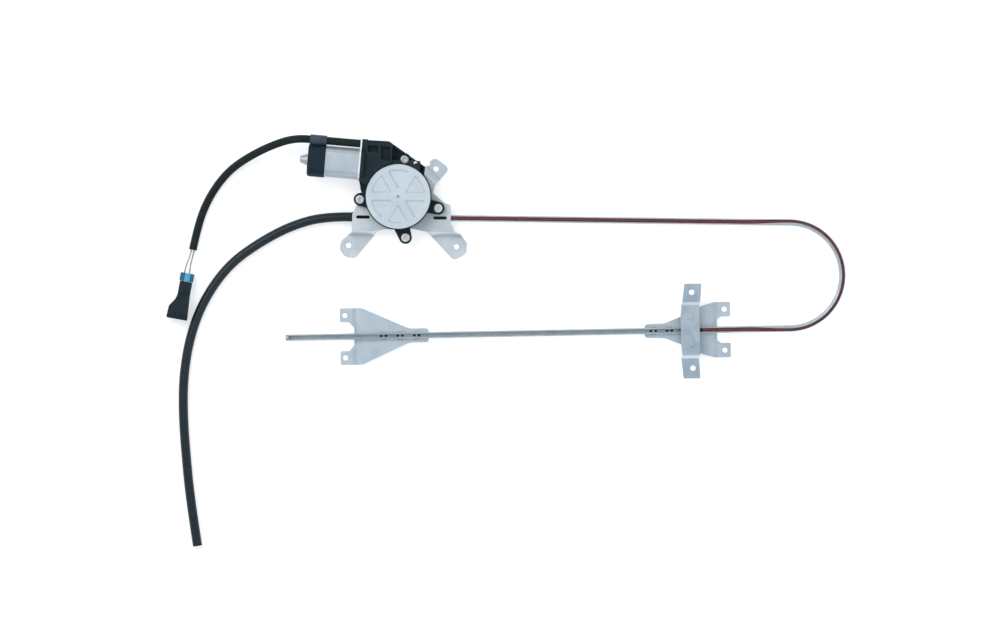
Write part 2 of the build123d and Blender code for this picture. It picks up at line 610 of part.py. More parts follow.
def worm_wheel():
    """Moulded wheel; its leaning teeth mesh with the worm."""
    middle = pi * WHEEL_MODULE / 2 - TOOTH_BACKLASH / 2
    flare = TOOTH_ADDENDUM * tan(radians(20))
    lead = WHEEL_MODULE / (2 * WORM_PITCH_RADIUS)
    lean = degrees(lead * WHEEL_THICKNESS / WHEEL_RADIUS)
    wheel = toothed_wheel(WHEEL_RADIUS - TOOTH_ADDENDUM - 0.3, WHEEL_RADIUS + TOOTH_ADDENDUM,
                          WHEEL_TEETH, middle + 2 * flare, middle - 2 * flare,
                          WHEEL_THICKNESS, lean)
    wheel = Rot(0, 0, MOTOR_TILT) * wheel
    half = WHEEL_THICKNESS / 2
    wheel -= disc(DAMPER_OUTER + PRESS_FIT, -half, -half + DAMPER_THICKNESS + PRESS_FIT,
                  bore=DAMPER_INNER - PRESS_FIT)
    wheel -= disc(WHEEL_RADIUS - 4.7, half - 4.0, half, bore=DAMPER_INNER - 1.0)
    for place in PolarLocations(LUG_RING, 3):
        wheel -= place * disc(COUPLER_LUG_RADIUS + PRESS_FIT, -half, 1 + PRESS_FIT)
    for place in PolarLocations(DAMPER_OUTER + 3.5, 12):
        wheel -= place * disc(2.2, -half, half)
    wheel -= disc(AXLE_RADIUS + RUNNING_FIT, -half, half)
    return DRIVE * Pos(0, 0, GEAR_Z) * wheel


def output_bush():
    """Sintered bush in the gearbox floor for the coupler's hub."""
    return DRIVE * disc(HUB_RADIUS + 2.5, BRACKET_TOP - 1.5, BRACKET_TOP + GEARBOX_FLOOR,
                        bore=HUB_RADIUS + RUNNING_FIT)


# ---------------------------------------------------------------- gearbox housing
def motor_frame_point(x, y):
    """A point of the motor's frame, measured from the gear axis, in the drive frame."""
    turn = radians(MOTOR_TILT)
    return x * cos(turn) - y * sin(turn), x * sin(turn) + y * cos(turn)


def gearbox_outline():
    """The block over the worm and the four screw lugs, without the round chamber."""
    low = motor_frame_point(CAN_END, WORM_DISTANCE - FLANGE_REACH)
    high = motor_frame_point(CAN_END, WORM_DISTANCE + TOWER_REACH)
    area = outline([(*low, 0), (-46.6, 5.5, 3), (-20, -8, 0), (20, -8, 0), (32.2, 26.5, 0),
                    (33.2, 37.5, 1.5), (-12, 68.6, 3), (*high, 2)])
    roots = [((-8, 30), (24, 27)), ((-40, 6), (-33, -16)), ((35, -2), (32, -19)),
             ((-8, -34), (14, -34))]
    for (x, y), (start, end) in zip(SCREW_PLACES, roots):
        area += make_hull([*(Pos(x, y) * Circle(LUG_RADIUS)).edges(), Line(start, end)])
    return area


def gland_block(grow):
    """Body of the lead's socket, about the motor's axis."""
    body = block((CAN_END, CAN_END + 7 + grow), (-6 - grow, 6 + grow), (-6 - grow, 6.6 + grow))
    return Pos(0, LEAD_SIDE, LEAD_RISE) * body


def gearbox():
    """Glass-filled housing of the worm drive: chamber, worm tunnel, motor flange, lugs."""
    area = gearbox_outline()
    body = prism(area, BRACKET_TOP, LUG_TOP) + disc(GEARBOX_RADIUS, BRACKET_TOP, CHAMBER_TOP)

    high = motor_frame_point(CAN_END, WORM_DISTANCE + TOWER_REACH)
    low = motor_frame_point(CAN_END, WORM_DISTANCE - FLANGE_REACH)
    tower = outline([(*low, 0), (-30, 8, 0), (-9, 30, 0), (-7.5, 65.5, 0), (-12, 68.6, 3),
                     (*high, 2)])
    body += prism(tower, BRACKET_TOP + 1, TOWER_TOP) - disc(GEARBOX_RADIUS + 0.4, CHAMBER_TOP, 90)

    rim = area - offset(area, -2.4)
    ledge = outline([(-11, 72, 0), (-8, 44, 0), (30, 24, 0), (40, 40, 0)])
    body += prism((rim & ledge) - Circle(GEARBOX_RADIUS - 1), LUG_TOP - 1, LUG_TOP + 6)
    flange = along_x(can_outline(1.4), CAN_END, CAN_END + 4.2)
    tunnel = bar(TUNNEL_RADIUS, CAN_END, SHAFT_END + 2)
    body += MOTOR_IN_DRIVE * (flange + tunnel)

    body -= disc(CHAMBER_RADIUS, BRACKET_TOP + GEARBOX_FLOOR, CHAMBER_TOP + 9)
    body -= disc(COVER_RADIUS + 0.3, CHAMBER_TOP - COVER_SHEET, CHAMBER_TOP + 9)
    body -= disc(HUB_RADIUS + 2.5 + PRESS_FIT, 0, GEAR_Z)
    body -= MOTOR_IN_DRIVE * bar(BUSH_RADIUS, CAN_END, SHAFT_END + 0.6)
    body -= MOTOR_IN_DRIVE * gland_block(PRESS_FIT)
    for x, y in SCREW_PLACES:
        body -= Pos(x, y) * disc(SCREW_RADIUS + 0.1, 0, 60)
        body -= Pos(x, y) * disc(SCREW_HEAD_RADIUS + 0.3, LUG_TOP, 60)
    pockets = [[(-38.3, 55.5, 1), (-25.7, 54.6, 1), (-25.9, 62.6, 1), (-38.3, 63.3, 1)],
               [(-22, 46.5, 1), (-10, 43.4, 1), (-11, 61.5, 1), (-22, 62.6, 1)]]
    for corners in pockets:
        body -= prism(outline(corners), TOWER_TOP - 7, TOWER_TOP)
    body -= Pos(*GEARBOX_PIN_HOLE) * disc(GEARBOX_PIN_RADIUS, BRACKET_TOP, TOWER_TOP)
    return DRIVE * body


def gearbox_cover():
    """Pressed steel disc with six sunk sectors between raised spokes."""
    bottom = CHAMBER_TOP - COVER_SHEET
    plate = disc(COVER_RADIUS, bottom, CHAMBER_TOP)
    reach, side = 2 * COVER_RADIUS, 2 * COVER_RADIUS * tan(radians(30))
    wedge = outline([(COVER_RIB, 0, 0), (COVER_RIB + reach, side, 0), (COVER_RIB + reach, -side, 0)])
    sector = wedge & Circle(CHAMBER_RADIUS - 0.6)
    sector = fillet(sector.vertices(), 2.2)
    inner = offset(sector, -0.9)
    for place in range(6):
        turn = Rot(0, 0, 90 + 60 * place)
        plate += turn * prism(sector, bottom - COVER_EMBOSS, bottom)
        plate -= turn * prism(inner, CHAMBER_TOP - COVER_EMBOSS, CHAMBER_TOP)
    plate -= Pos(0, 0, CHAMBER_TOP - 0.6) * Cylinder(1.4, 1.2)
    return DRIVE * plate


def gearbox_screws():
    """Four screws that clamp the gearbox to the bracket."""
    screw = disc(SCREW_RADIUS, BRACKET_Z - 1.2, LUG_TOP)
    head = disc(SCREW_HEAD_RADIUS, LUG_TOP, LUG_TOP + SCREW_HEAD)
    head = fillet(head.edges().group_by(Axis.Z)[-1], 1.2)
    head -= prism(RegularPolygon(2.6, 6), LUG_TOP + 1.2, LUG_TOP + SCREW_HEAD)
    return [DRIVE * Pos(x, y, 0) * (screw + head) for x, y in SCREW_PLACES]


# ---------------------------------------------------------------- motor
def can_outline(grow):
    """Round with two flats, drawn in Y and Z about the motor's axis."""
    return Circle(CAN_RADIUS + grow) & Rectangle(2 * (CAN_RADIUS + grow), CAN_HEIGHT + 2 * grow)


def motor_can():
    """Drawn steel can with its bearing boss, closed at the far end."""
    body = along_x(can_outline(0), CAN_START, CAN_END)
    body = fillet(body.edges().group_by(Axis.X)[0], 3.0)
    body += along_x(can_outline(CAN_RIM), CAN_END - CAN_FLANGE, CAN_END)
    body -= along_x(can_outline(-CAN_WALL), CAN_START + CAN_WALL, CAN_END)
    tip = CAN_START - BOSS_LENGTH
    cone = Cone(BOSS_RADIUS, BOSS_RADIUS - 1.6, BOSS_LENGTH, align=MIN)
    boss = Pos(CAN_START, 0, 0) * Rot(0, -90, 0) * cone
    boss = fillet(boss.edges().group_by(Axis.X)[0], 1.5)
    body += boss
    body -= bar(BOSS_BUSH_RADIUS + PRESS_FIT, tip + 1.6, CAN_START + 5)
    return MOTOR * body


def end_sleeve():
    """Rubber sleeve drawn over the can's end."""
    outer = along_x(can_outline(SLEEVE_WALL), CAN_START - SLEEVE_WALL, SLEEVE_END)
    outer = fillet(outer.edges().group_by(Axis.X)[0], 3.6)
    inner = along_x(can_outline(PRESS_FIT), CAN_START, SLEEVE_END)
    inner = fillet(inner.edges().group_by(Axis.X)[0], 3.0)
    return MOTOR * (outer - inner - bar(BOSS_RADIUS + PRESS_FIT, CAN_START - 3, CAN_START + 1))


def lead_clip():
    """Clip beside the sleeve that holds the lead's conduit."""
    centre = Pos(0, LEAD_SIDE, LEAD_RISE)
    ring = bar(CONDUIT_RADIUS + 1.3, CAN_START, SLEEVE_END)
    foot = block((CAN_START, SLEEVE_END), (-6.5, 0), (-11.5, -2.0))
    clip = centre * (ring + foot)
    clip -= centre * bar(CONDUIT_RADIUS + SEAT_GAP, CAN_START, SLEEVE_END)
    sleeve = along_x(can_outline(SLEEVE_WALL + PRESS_FIT), CAN_START, SLEEVE_END)
    return MOTOR * (clip - sleeve)


def motor_magnets():
    """Two ferrite arcs on the can's round sides."""
    ring = bar(CAN_RADIUS - CAN_WALL - PRESS_FIT, MAGNETS[0], MAGNETS[1], bore=CORE_RADIUS + 0.6)
    wedge = along_x(Polygon((0, 0), (30, 19), (30, -19), align=None), MAGNETS[0], MAGNETS[1])
    arc = ring & wedge & along_x(can_outline(-CAN_WALL - 0.3), MAGNETS[0], MAGNETS[1])
    return [MOTOR * arc, MOTOR * Rot(180, 0, 0) * arc]


def armature_shaft():
    shaft = bar(SHAFT_RADIUS, CAN_START - BOSS_LENGTH + 2.4, SHAFT_END)
    return MOTOR * chamfer(shaft.edges().group_by(Axis.X)[-1], 0.5)


def armature_core():
    """Laminated core with eight winding slots."""
    section = Circle(CORE_RADIUS) - Circle(SHAFT_RADIUS + PRESS_FIT)
    for place in PolarLocations(CORE_RADIUS - 3.2, 8):
        section -= place * Rectangle(7.4, 3.2)
    return MOTOR * along_x(section, *CORE)


def armature_windings():
    """Copper end turns on each side of the core."""
    bore = SHAFT_RADIUS + PRESS_FIT
    return [MOTOR * bar(WINDING_RADIUS, start, start + 5, bore) for start in (CORE[0] - 5, CORE[1])]


def commutator():
    ring = along_x(Circle(COMMUTATOR_RADIUS) - Circle(SHAFT_RADIUS + PRESS_FIT), *COMMUTATOR)
    for place in range(8):
        cut = block(COMMUTATOR, (-0.3, 0.3), (COMMUTATOR_RADIUS - 1.4, COMMUTATOR_RADIUS + 1))
        ring -= Rot(45 * place, 0, 0) * cut
    return MOTOR * ring


def worm():
    """Single-start worm pressed on the armature shaft."""
    pitch = pi * WHEEL_MODULE
    root = WORM_PITCH_RADIUS - TOOTH_ADDENDUM - 0.3
    tip = WORM_PITCH_RADIUS + TOOTH_ADDENDUM
    middle = pitch / 2 - TOOTH_BACKLASH / 2
    flare = 2 * TOOTH_ADDENDUM * tan(radians(20))
    turns = 2 * WORM_HALF / pitch - 1.4
    thread = helix_ridge(turns, pitch, root, tip, middle + flare + 0.2, middle - flare, 90)
    core = bar(root, -WORM_HALF, WORM_HALF)
    return MOTOR * (core + thread - bar(SHAFT_RADIUS + PRESS_FIT, -WORM_HALF - 1, WORM_HALF + 1))


def armature_bushes():
    """Self-aligning bushes in the can's boss, at the gearbox mouth and past the worm."""
    bore = SHAFT_RADIUS + RUNNING_FIT
    tip = CAN_START - BOSS_LENGTH + 1.6
    return [MOTOR * bar(BOSS_BUSH_RADIUS, tip + 1.4, CAN_START + 1.0, bore=bore),
            MOTOR * bar(BUSH_RADIUS - PRESS_FIT, CAN_END + 4, CAN_END + 12, bore=bore),
            MOTOR * bar(BUSH_RADIUS - PRESS_FIT, SHAFT_END - 5.0, SHAFT_END - 0.6, bore=bore)]


def brush_card():
    """Plastic plate in the can's mouth that carries the brushes."""
    card = along_x(can_outline(-CAN_WALL - PRESS_FIT), COMMUTATOR[1] + 1.4, CAN_END)
    card -= bar(SHAFT_RADIUS + 1.5, COMMUTATOR[1], CAN_END)
    start, end = COMMUTATOR
    for side in (-1, 1):
        card += Pos(0, side * 12, 0) * block((start + 1, end + 1.4), (-4, 4), (-4, 4))
    slot = block((start + 1.9, end - 1.0), (-CAN_RADIUS, CAN_RADIUS), (-2.6, 2.6))
    return MOTOR * (card - slot)


def brushes():
    """Two carbon brushes on the commutator."""
    start, end = COMMUTATOR
    carbon = block((start + 2.0, end - 1.1), (COMMUTATOR_RADIUS + SLIDING_GAP, 15), (-2.5, 2.5))
    return [MOTOR * carbon, MOTOR * Rot(180, 0, 0) * carbon]


def lead_gland():
    """Socket on the gearbox where the conduit and its wires enter."""
    return MOTOR * gland_block(0)


# ---------------------------------------------------------------- lead, hose, connector
LEAD_EXIT = (MOTOR * Pos(CAN_END, LEAD_SIDE, LEAD_RISE)).position
LEAD_FIRST_CORNER = (MOTOR * Pos(CAN_END - 84, LEAD_SIDE, LEAD_RISE)).position
HOSE_EXIT = (DRIVE_TUBE * Pos(HOSE_START_X, 0, 0)).position
HOSE_FIRST_CORNER = (DRIVE_TUBE * Pos(HOSE_START_X - 34, 0, 0)).position

CONDUIT_POINTS = [
    tuple(LEAD_EXIT), tuple(LEAD_FIRST_CORNER), (-93.0, 126.5, 27.0), (-121.0, 113.5, 15.0),
    (-145.0, 98.0, 6.5), (-163.0, 78.0, CONDUIT_RADIUS), (-177.0, 55.0, CONDUIT_RADIUS),
    (-187.5, 28.0, CONDUIT_RADIUS), (-194.5, -2.0, CONDUIT_RADIUS)]

HOSE_POINTS = [
    tuple(HOSE_EXIT), tuple(HOSE_FIRST_CORNER), (-72.0, 25.5, 6.6), (-112.0, 5.0, HOSE_RADIUS),
    (-150.0, -21.5, HOSE_RADIUS), (-181.0, -63.0, HOSE_RADIUS), (-199.5, -108.0, HOSE_RADIUS),
    (-209.0, -158.0, HOSE_RADIUS), (-210.5, -208.0, HOSE_RADIUS), (-207.5, -262.0, HOSE_RADIUS),
    (-203.2, -315.0, HOSE_RADIUS), (-195.4, -372.0, HOSE_RADIUS)]

WIRE_ROUTES = {
    "wire_red": [(-192.75, -2.41, 5.2), (-194.85, -11.41, 5.2), (-197.2, -20.6, 7.0),
                 (-198.67, -28.79, 8.0), (-202.35, -46.92, 8.0)],
    "wire_black": [(-196.25, -1.59, 5.2), (-198.35, -10.59, 5.2), (-202.9, -19.0, 7.2),
                   (-204.94, -27.51, 8.0), (-208.63, -45.64, 8.0)],
}


def wire_holes(start, end):
    """Two square holes along the plug for the wires and terminals."""
    hole = block((start, end), (-WIRE_HOLE, WIRE_HOLE), (-WIRE_HOLE, WIRE_HOLE))
    first, second = TERMINAL_ROWS
    return Pos(0, first, TERMINAL_Z) * hole + Pos(0, second, TERMINAL_Z) * hole


def connector_housing():
    """Two-way plug body: narrow neck, wide mouth, hollow to the front."""
    start, end = NECK_START, CONNECTOR_LENGTH
    neck = outline([(start, -6.6, 0.5), (32, -6.6, 0), (32, 8.8, 0), (start, 8.8, 0.5)])
    mouth = outline([(28, -6.6, 2), (34, -8.0, 3), (44, -14.6, 4), (end, -15.4, 1.5),
                     (end, 11.0, 1.5), (28, 8.8, 0)])
    body = prism(neck, 1.6, 15.0) + prism(mouth, 0.0, 18.6)
    body -= block((end - MOUTH_DEPTH, end), (-9.6, 8.4), (2.4, 16.2))
    return CONNECTOR * (body - wire_holes(start, end))


def connector_terminals():
    crimp_end = TERMINAL_START + 19
    pin = block((TERMINAL_START, crimp_end), (-1.5, 1.5), (-1.5, 1.5))
    pin += block((crimp_end, CONNECTOR_LENGTH - 6), (-1.2, 1.2), (-0.4, 0.4))
    return [CONNECTOR * Pos(0, y, TERMINAL_Z) * pin for y in TERMINAL_ROWS]


def connector_lock():
    """Blue lock that slides onto the plug's rear and keeps the terminals in."""
    body = block(LOCK_STRETCH, (-7.6, 9.6), (0.6, 16.0))
    body = fillet(body.edges().filter_by(Axis.X), 1.2)
    body += block(LOCK_STRETCH, (-2.6, 4.6), (15.0, 17.4))
    return CONNECTOR * (body - wire_holes(*LOCK_STRETCH))


# ---------------------------------------------------------------- writing
def build():
    cords = {"conduit": cord("conduit", CONDUIT_POINTS, CONDUIT_RADIUS),
             "run_out_hose": cord("run_out_hose", HOSE_POINTS, HOSE_RADIUS)}
    for name, points in WIRE_ROUTES.items():
        cords[name] = cord(name, points, WIRE_RADIUS)
    return {
        "motor_bracket": motor_bracket(),
        "guide_housing": guide_housing(),
        "rear_cover": rear_cover(),
        "rear_cover_screws": rear_cover_screws(),
        "guide_tube": guide_tube(),
        "tube_end_plug": tube_end_plug(),
        "cable_at_sprocket": cable_at_sprocket(),
        "cable_in_tube": cable_in_tube(),
        "cable_in_rail": cable_in_rail(),
        "cable_end": cable_end(),
        "slider": slider(),
        "lift_bracket": lift_bracket(),
        "lift_rivets": lift_rivets(),
        "rail_bracket_left": rail_bracket_left(),
        "rail_bracket_right": rail_bracket_right(),
        "rail_welds": weld_beads(),
        "axle_pin": axle_pin(),
        "drive_sprocket": drive_sprocket(),
        "drive_coupler": drive_coupler(),
        "coupler_damper": coupler_damper(),
        "worm_wheel": worm_wheel(),
        "output_bush": output_bush(),
        "gearbox": gearbox(),
        "gearbox_cover": gearbox_cover(),
        "gearbox_screws": gearbox_screws(),
        "lead_gland": lead_gland(),
        "motor_can": motor_can(),
        "end_sleeve": end_sleeve(),
        "lead_clip": lead_clip(),
        "motor_magnets": motor_magnets(),
        "armature_shaft": armature_shaft(),
        "armature_core": armature_core(),
        "armature_windings": armature_windings(),
        "commutator": commutator(),
        "worm": worm(),
        "armature_bushes": armature_bushes(),
        "brush_card": brush_card(),
        "brushes": brushes(),
        **cords,
        "connector_housing": connector_housing(),
        "connector_terminals": connector_terminals(),
        "connector_lock": connector_lock(),
    }


os.makedirs("parts", exist_ok=True)
for node, shape in build().items():
    if isinstance(shape, list):
        shape = Compound(children=shape)
    export_step(shape, f"parts/{node}.step")
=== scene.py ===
"""Dressed model of a cable window regulator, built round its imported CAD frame.

Lengths are in metres. X runs along the rail, Y from the rail to the motor and Z up from the
door panel, as in the frame.
"""
from __future__ import annotations

import logging
import math
from dataclasses import dataclass, field
from enum import Enum
from typing import Callable, Iterable, Sequence

import bmesh
import bpy
from mathutils import Matrix, Vector


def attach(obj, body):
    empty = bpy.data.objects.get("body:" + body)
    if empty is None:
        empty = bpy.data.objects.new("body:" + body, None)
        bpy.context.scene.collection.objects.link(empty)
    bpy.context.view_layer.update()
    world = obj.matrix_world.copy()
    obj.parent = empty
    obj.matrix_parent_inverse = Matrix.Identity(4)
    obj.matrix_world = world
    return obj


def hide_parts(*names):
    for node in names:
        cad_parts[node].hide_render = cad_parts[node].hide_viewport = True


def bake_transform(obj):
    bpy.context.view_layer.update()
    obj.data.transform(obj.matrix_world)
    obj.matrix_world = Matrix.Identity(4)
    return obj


MM = 0.001
LOG = logging.getLogger("window_regulator")
SHARP_DEG = 38.0  # least turn between two faces whose edge is shaded sharp
FLAT_DEG = 0.4  # most turn between two triangles of one flat face of a CAD node
MERGE = 1e-6  # metres, below which two points are one
CAD_MERGE = 2e-6  # the same for the loose triangles of a CAD node
CORNER_FACES = 6  # round a corner of a pressed sheet
HOLE_FACES = 32  # round a punched hole
NOISE_MIDDLE = (0.35, 0.65)  # where most values of a noise lie

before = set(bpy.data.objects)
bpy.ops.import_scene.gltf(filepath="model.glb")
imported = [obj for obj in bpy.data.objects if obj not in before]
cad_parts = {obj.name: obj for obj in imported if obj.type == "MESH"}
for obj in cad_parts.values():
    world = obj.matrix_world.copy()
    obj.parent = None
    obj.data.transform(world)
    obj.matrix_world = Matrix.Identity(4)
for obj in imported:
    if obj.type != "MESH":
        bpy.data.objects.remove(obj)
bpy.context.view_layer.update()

Point = tuple[float, float, float]
Tree = bpy.types.NodeTree
Socket = bpy.types.NodeSocket
Shape = bmesh.types.BMesh
Settings = dict[str | int, object]
Links = dict[str | int, Socket]
Reshape = Callable[[Shape], None]


class Body(str, Enum):
    """The moving groups of the frame."""

    CHASSIS = "chassis"
    ARMATURE = "armature"
    GEAR_TRAIN = "gear_train"
    LIFT = "lift"
    LOCK = "lock"


class Shade(str, Enum):
    """How a finished mesh is smoothed."""

    ROUND = "round"
    SHEET = "sheet"


# ------------------------------------------------------------------ colours and nodes
def linear(hex_colour: str) -> tuple[float, float, float, float]:
    """Turn an sRGB hex colour into linear RGBA.

    Args:
        hex_colour: Colour such as "c9d6df".

    Returns:
        Red, green, blue and alpha for a shader socket.
    """
    channels = [int(hex_colour[i:i + 2], 16) / 255 for i in (0, 2, 4)]
    return (*[c / 12.92 if c <= 0.04045 else ((c + 0.055) / 1.055) ** 2.4 for c in channels], 1.0)


def add_node(tree: Tree, kind: str, settings: Settings | None = None,
             links: Links | None = None) -> bpy.types.Node:
    """Add a shader node with its settings and incoming links.

    Args:
        tree: Node tree to add to.
        kind: Blender's node type.
        settings: Attributes or inputs with their values; an input may go by its number.
        links: Inputs with the sockets that feed them.

    Returns:
        The new node.
    """
    node = tree.nodes.new(kind)
    for name, value in (settings or {}).items():
        if isinstance(name, int) or name in node.inputs:
            node.inputs[name].default_value = value
        else:
            setattr(node, name, value)
    for name, socket in (links or {}).items():
        tree.links.new(socket, node.inputs[name])
    return node


def blank_material(name: str) -> tuple[bpy.types.Material, Tree]:
    """Make a material with an empty node tree."""
    material = bpy.data.materials.new(name)
    material.use_nodes = True
    material.node_tree.nodes.clear()
    return material, material.node_tree


def noise(tree: Tree, size_mm: Sequence[float], detail: float = 3.0,
          distortion: float = 0.0) -> Socket:
    """Add noise whose lumps have a real size along each axis.

    Args:
        tree: Node tree to add to.
        size_mm: Lump size along X, Y and Z in millimetres.
        detail: Octaves of finer noise.
        distortion: How much the lumps are pulled about.

    Returns:
        The noise value, 0 to 1.
    """
    place = add_node(tree, "ShaderNodeTexCoord")
    mapping = add_node(tree, "ShaderNodeMapping",
                       {"Scale": tuple(1 / (size * MM) for size in size_mm)},
                       {"Vector": place.outputs["Object"]})
    texture = add_node(tree, "ShaderNodeTexNoise",
                       {"Scale": 1.0, "Detail": detail, "Distortion": distortion},
                       {"Vector": mapping.outputs["Vector"]})
    return texture.outputs["Fac"]


def clouded(tree: Tree, pattern: Socket, first: str, second: str,
            middle: tuple[float, float] = NOISE_MIDDLE) -> Socket:
    """Colour that goes from one to another with a pattern.

    Args:
        tree: Node tree to add to.
        pattern: Pattern value.
        first: Hex colour where the pattern is low.
        second: Hex colour where it is high.
        middle: Pattern values between which the colour changes.

    Returns:
        The colour.
    """
    share = add_node(tree, "ShaderNodeMapRange", {"From Min": middle[0], "From Max": middle[1]},
                     {"Value": pattern})
    ramp = add_node(tree, "ShaderNodeValToRGB", {}, {"Fac": share.outputs["Result"]})
    ramp.color_ramp.elements[0].color = linear(first)
    ramp.color_ramp.elements[1].color = linear(second)
    return ramp.outputs["Color"]


def finish_surface(tree: Tree, settings: Settings, colour: Socket,
                   heights: Iterable[tuple[Socket, float]],
                   gloss: tuple[Socket, float, float] | None = None) -> None:
    """Close a material with its relief, its roughness, its shader and its output.

    Args:
        tree: Node tree to add to.
        settings: Plain values of the shader.
        colour: Base colour.
        heights: Patterns of the relief with their depth in millimetres.
        gloss: Pattern of the roughness with its low and high value.
    """
    links = {"Base Color": colour}
    if gloss:
        pattern, low, high = gloss
        rough = add_node(tree, "ShaderNodeMapRange",
                         {"From Min": NOISE_MIDDLE[0], "From Max": NOISE_MIDDLE[1],
                          "To Min": low, "To Max": high}, {"Value": pattern})
        links["Roughness"] = rough.outputs["Result"]
    relief: Links = {}
    for height, depth_mm in heights:
        bump = add_node(tree, "ShaderNodeBump", {"Strength": 1.0, "Distance": depth_mm * MM},
                        {"Height": height, **relief})
        relief = {"Normal": bump.outputs["Normal"]}
    shader = add_node(tree, "ShaderNodeBsdfPrincipled", settings, {**links, **relief})
    add_node(tree, "ShaderNodeOutputMaterial", {}, {"Surface": shader.outputs["BSDF"]})


# ------------------------------------------------------------------ finishes
@dataclass(frozen=True)
class ZincPlate:
    """Electroplated zinc with a clear blue passivate: pale, cool, softly clouded metal.

    The rolled strip under it leaves faint streaks, and handling leaves dull patches.
    """

    name: str
    base: str
    cloud: str
    metallic: float = 0.55
    roughness: float = 0.42
    cloud_mm: float = 22.0
    streak_mm: tuple[float, float, float] = (14.0, 0.7, 0.7)
    grain_mm: float = 0.9
    depth_mm: float = 0.012
    uneven: tuple[float, float] = (0.07, 0.09)  # of the roughness, down and up

    def build(self) -> bpy.types.Material:
        """Make the material."""
        material, tree = blank_material(self.name)
        clouds = noise(tree, (self.cloud_mm,) * 3, detail=5.0, distortion=0.6)
        streaks = noise(tree, self.streak_mm)
        grain = noise(tree, (self.grain_mm,) * 3, detail=4.0)
        finish_surface(tree, {"Metallic": self.metallic},
                       clouded(tree, clouds, self.base, self.cloud),
                       [(streaks, self.depth_mm), (grain, self.depth_mm)],
                       (grain, self.roughness - self.uneven[0], self.roughness + self.uneven[1]))
        return material


@dataclass(frozen=True)
class SteelPart:
    """Turned, rolled or sintered metal: even colour with fine tool marks."""

    name: str
    base: str
    shadow: str
    roughness: float = 0.34
    metallic: float = 0.9
    mark_mm: tuple[float, float, float] = (0.5, 0.5, 0.12)
    patch_mm: float = 6.0
    depth_mm: float = 0.01
    uneven: tuple[float, float] = (0.06, 0.08)  # of the roughness, down and up

    def build(self) -> bpy.types.Material:
        """Make the material."""
        material, tree = blank_material(self.name)
        patches = noise(tree, (self.patch_mm,) * 3, detail=4.0)
        marks = noise(tree, self.mark_mm, detail=2.0)
        finish_surface(tree, {"Metallic": self.metallic},
                       clouded(tree, patches, self.base, self.shadow), [(marks, self.depth_mm)],
                       (marks, self.roughness - self.uneven[0], self.roughness + self.uneven[1]))
        return material


@dataclass(frozen=True)
class MouldedPlastic:
    """Injection-moulded plastic or rubber: spark-eroded grain and slightly uneven gloss."""

    name: str
    base: str
    worn: str
    roughness: float = 0.48
    grain_mm: float = 0.8
    depth_mm: float = 0.03
    patch_mm: float = 12.0
    specular: float = 0.28
    worn_where: tuple[float, float] = (0.3, 0.75)
    uneven: tuple[float, float] = (0.07, 0.07)  # of the roughness, down and up

    def build(self) -> bpy.types.Material:
        """Make the material."""
        material, tree = blank_material(self.name)
        patches = noise(tree, (self.patch_mm,) * 3, detail=4.0, distortion=0.4)
        grain = noise(tree, (self.grain_mm,) * 3, detail=2.0)
        finish_surface(tree, {"Specular IOR Level": self.specular},
                       clouded(tree, patches, self.base, self.worn, self.worn_where),
                       [(grain, self.depth_mm)],
                       (patches, self.roughness - self.uneven[0], self.roughness + self.uneven[1]))
        return material


@dataclass(frozen=True)
class ExtrudedHose:
    """Extruded soft PVC: smooth and half glossy, with slow waves left by the haul-off."""

    name: str = "extruded pvc hose"
    base: str = "0c2028"
    worn: str = "1a323b"
    roughness: float = 0.34
    wave_mm: float = 9.0
    wave_depth_mm: float = 0.12
    scuff_mm: tuple[float, float, float] = (1.2, 5.0, 1.2)
    scuff_depth_mm: float = 0.01
    scuffed_where: tuple[float, float] = (0.45, 0.8)
    specular: float = 0.35
    uneven: tuple[float, float] = (0.05, 0.16)  # of the roughness, down and up

    def build(self) -> bpy.types.Material:
        """Make the material."""
        material, tree = blank_material(self.name)
        waves = noise(tree, (self.wave_mm,) * 3, detail=2.0)
        scuffs = noise(tree, self.scuff_mm, detail=5.0, distortion=0.5)
        finish_surface(tree, {"Specular IOR Level": self.specular},
                       clouded(tree, scuffs, self.base, self.worn, self.scuffed_where),
                       [(waves, self.wave_depth_mm), (scuffs, self.scuff_depth_mm)],
                       (scuffs, self.roughness - self.uneven[0], self.roughness + self.uneven[1]))
        return material


@dataclass(frozen=True)
class FlockedCable:
    """Nylon flock on a steel cable: a dull dark red velvet that keeps the cable quiet.

    The fibres are 0.05 mm thick and are drawn about six times as coarse, to show at all.
    """

    name: str = "flocked cable"
    base: str = "6d2c33"
    tip: str = "92525a"
    fibre_mm: float = 0.3
    fibre_depth_mm: float = 0.12
    dirt: str = "a08a90"
    dirt_mm: float = 14.0
    most_dirt: float = 0.35
    sheen: str = "b07a80"

    def build(self) -> bpy.types.Material:
        """Make the material."""
        material, tree = blank_material(self.name)
        fibres = noise(tree, (self.fibre_mm,) * 3, detail=2.0)
        patches = noise(tree, (self.dirt_mm,) * 3)
        dirt = add_node(tree, "ShaderNodeMapRange",
                        {"From Min": NOISE_MIDDLE[0], "From Max": NOISE_MIDDLE[1],
                         "To Max": self.most_dirt}, {"Value": patches})
        soiled = add_node(tree, "ShaderNodeMix",
                          {"data_type": "RGBA", "blend_type": "MULTIPLY", 7: linear(self.dirt)},
                          {0: dirt.outputs["Result"],
                           6: clouded(tree, fibres, self.base, self.tip)})
        finish_surface(tree, {"Roughness": 0.85, "Sheen Weight": 0.35, "Sheen Roughness": 0.4,
                              "Sheen Tint": linear(self.sheen)},
                       soiled.outputs[2], [(fibres, self.fibre_depth_mm)])
        return material


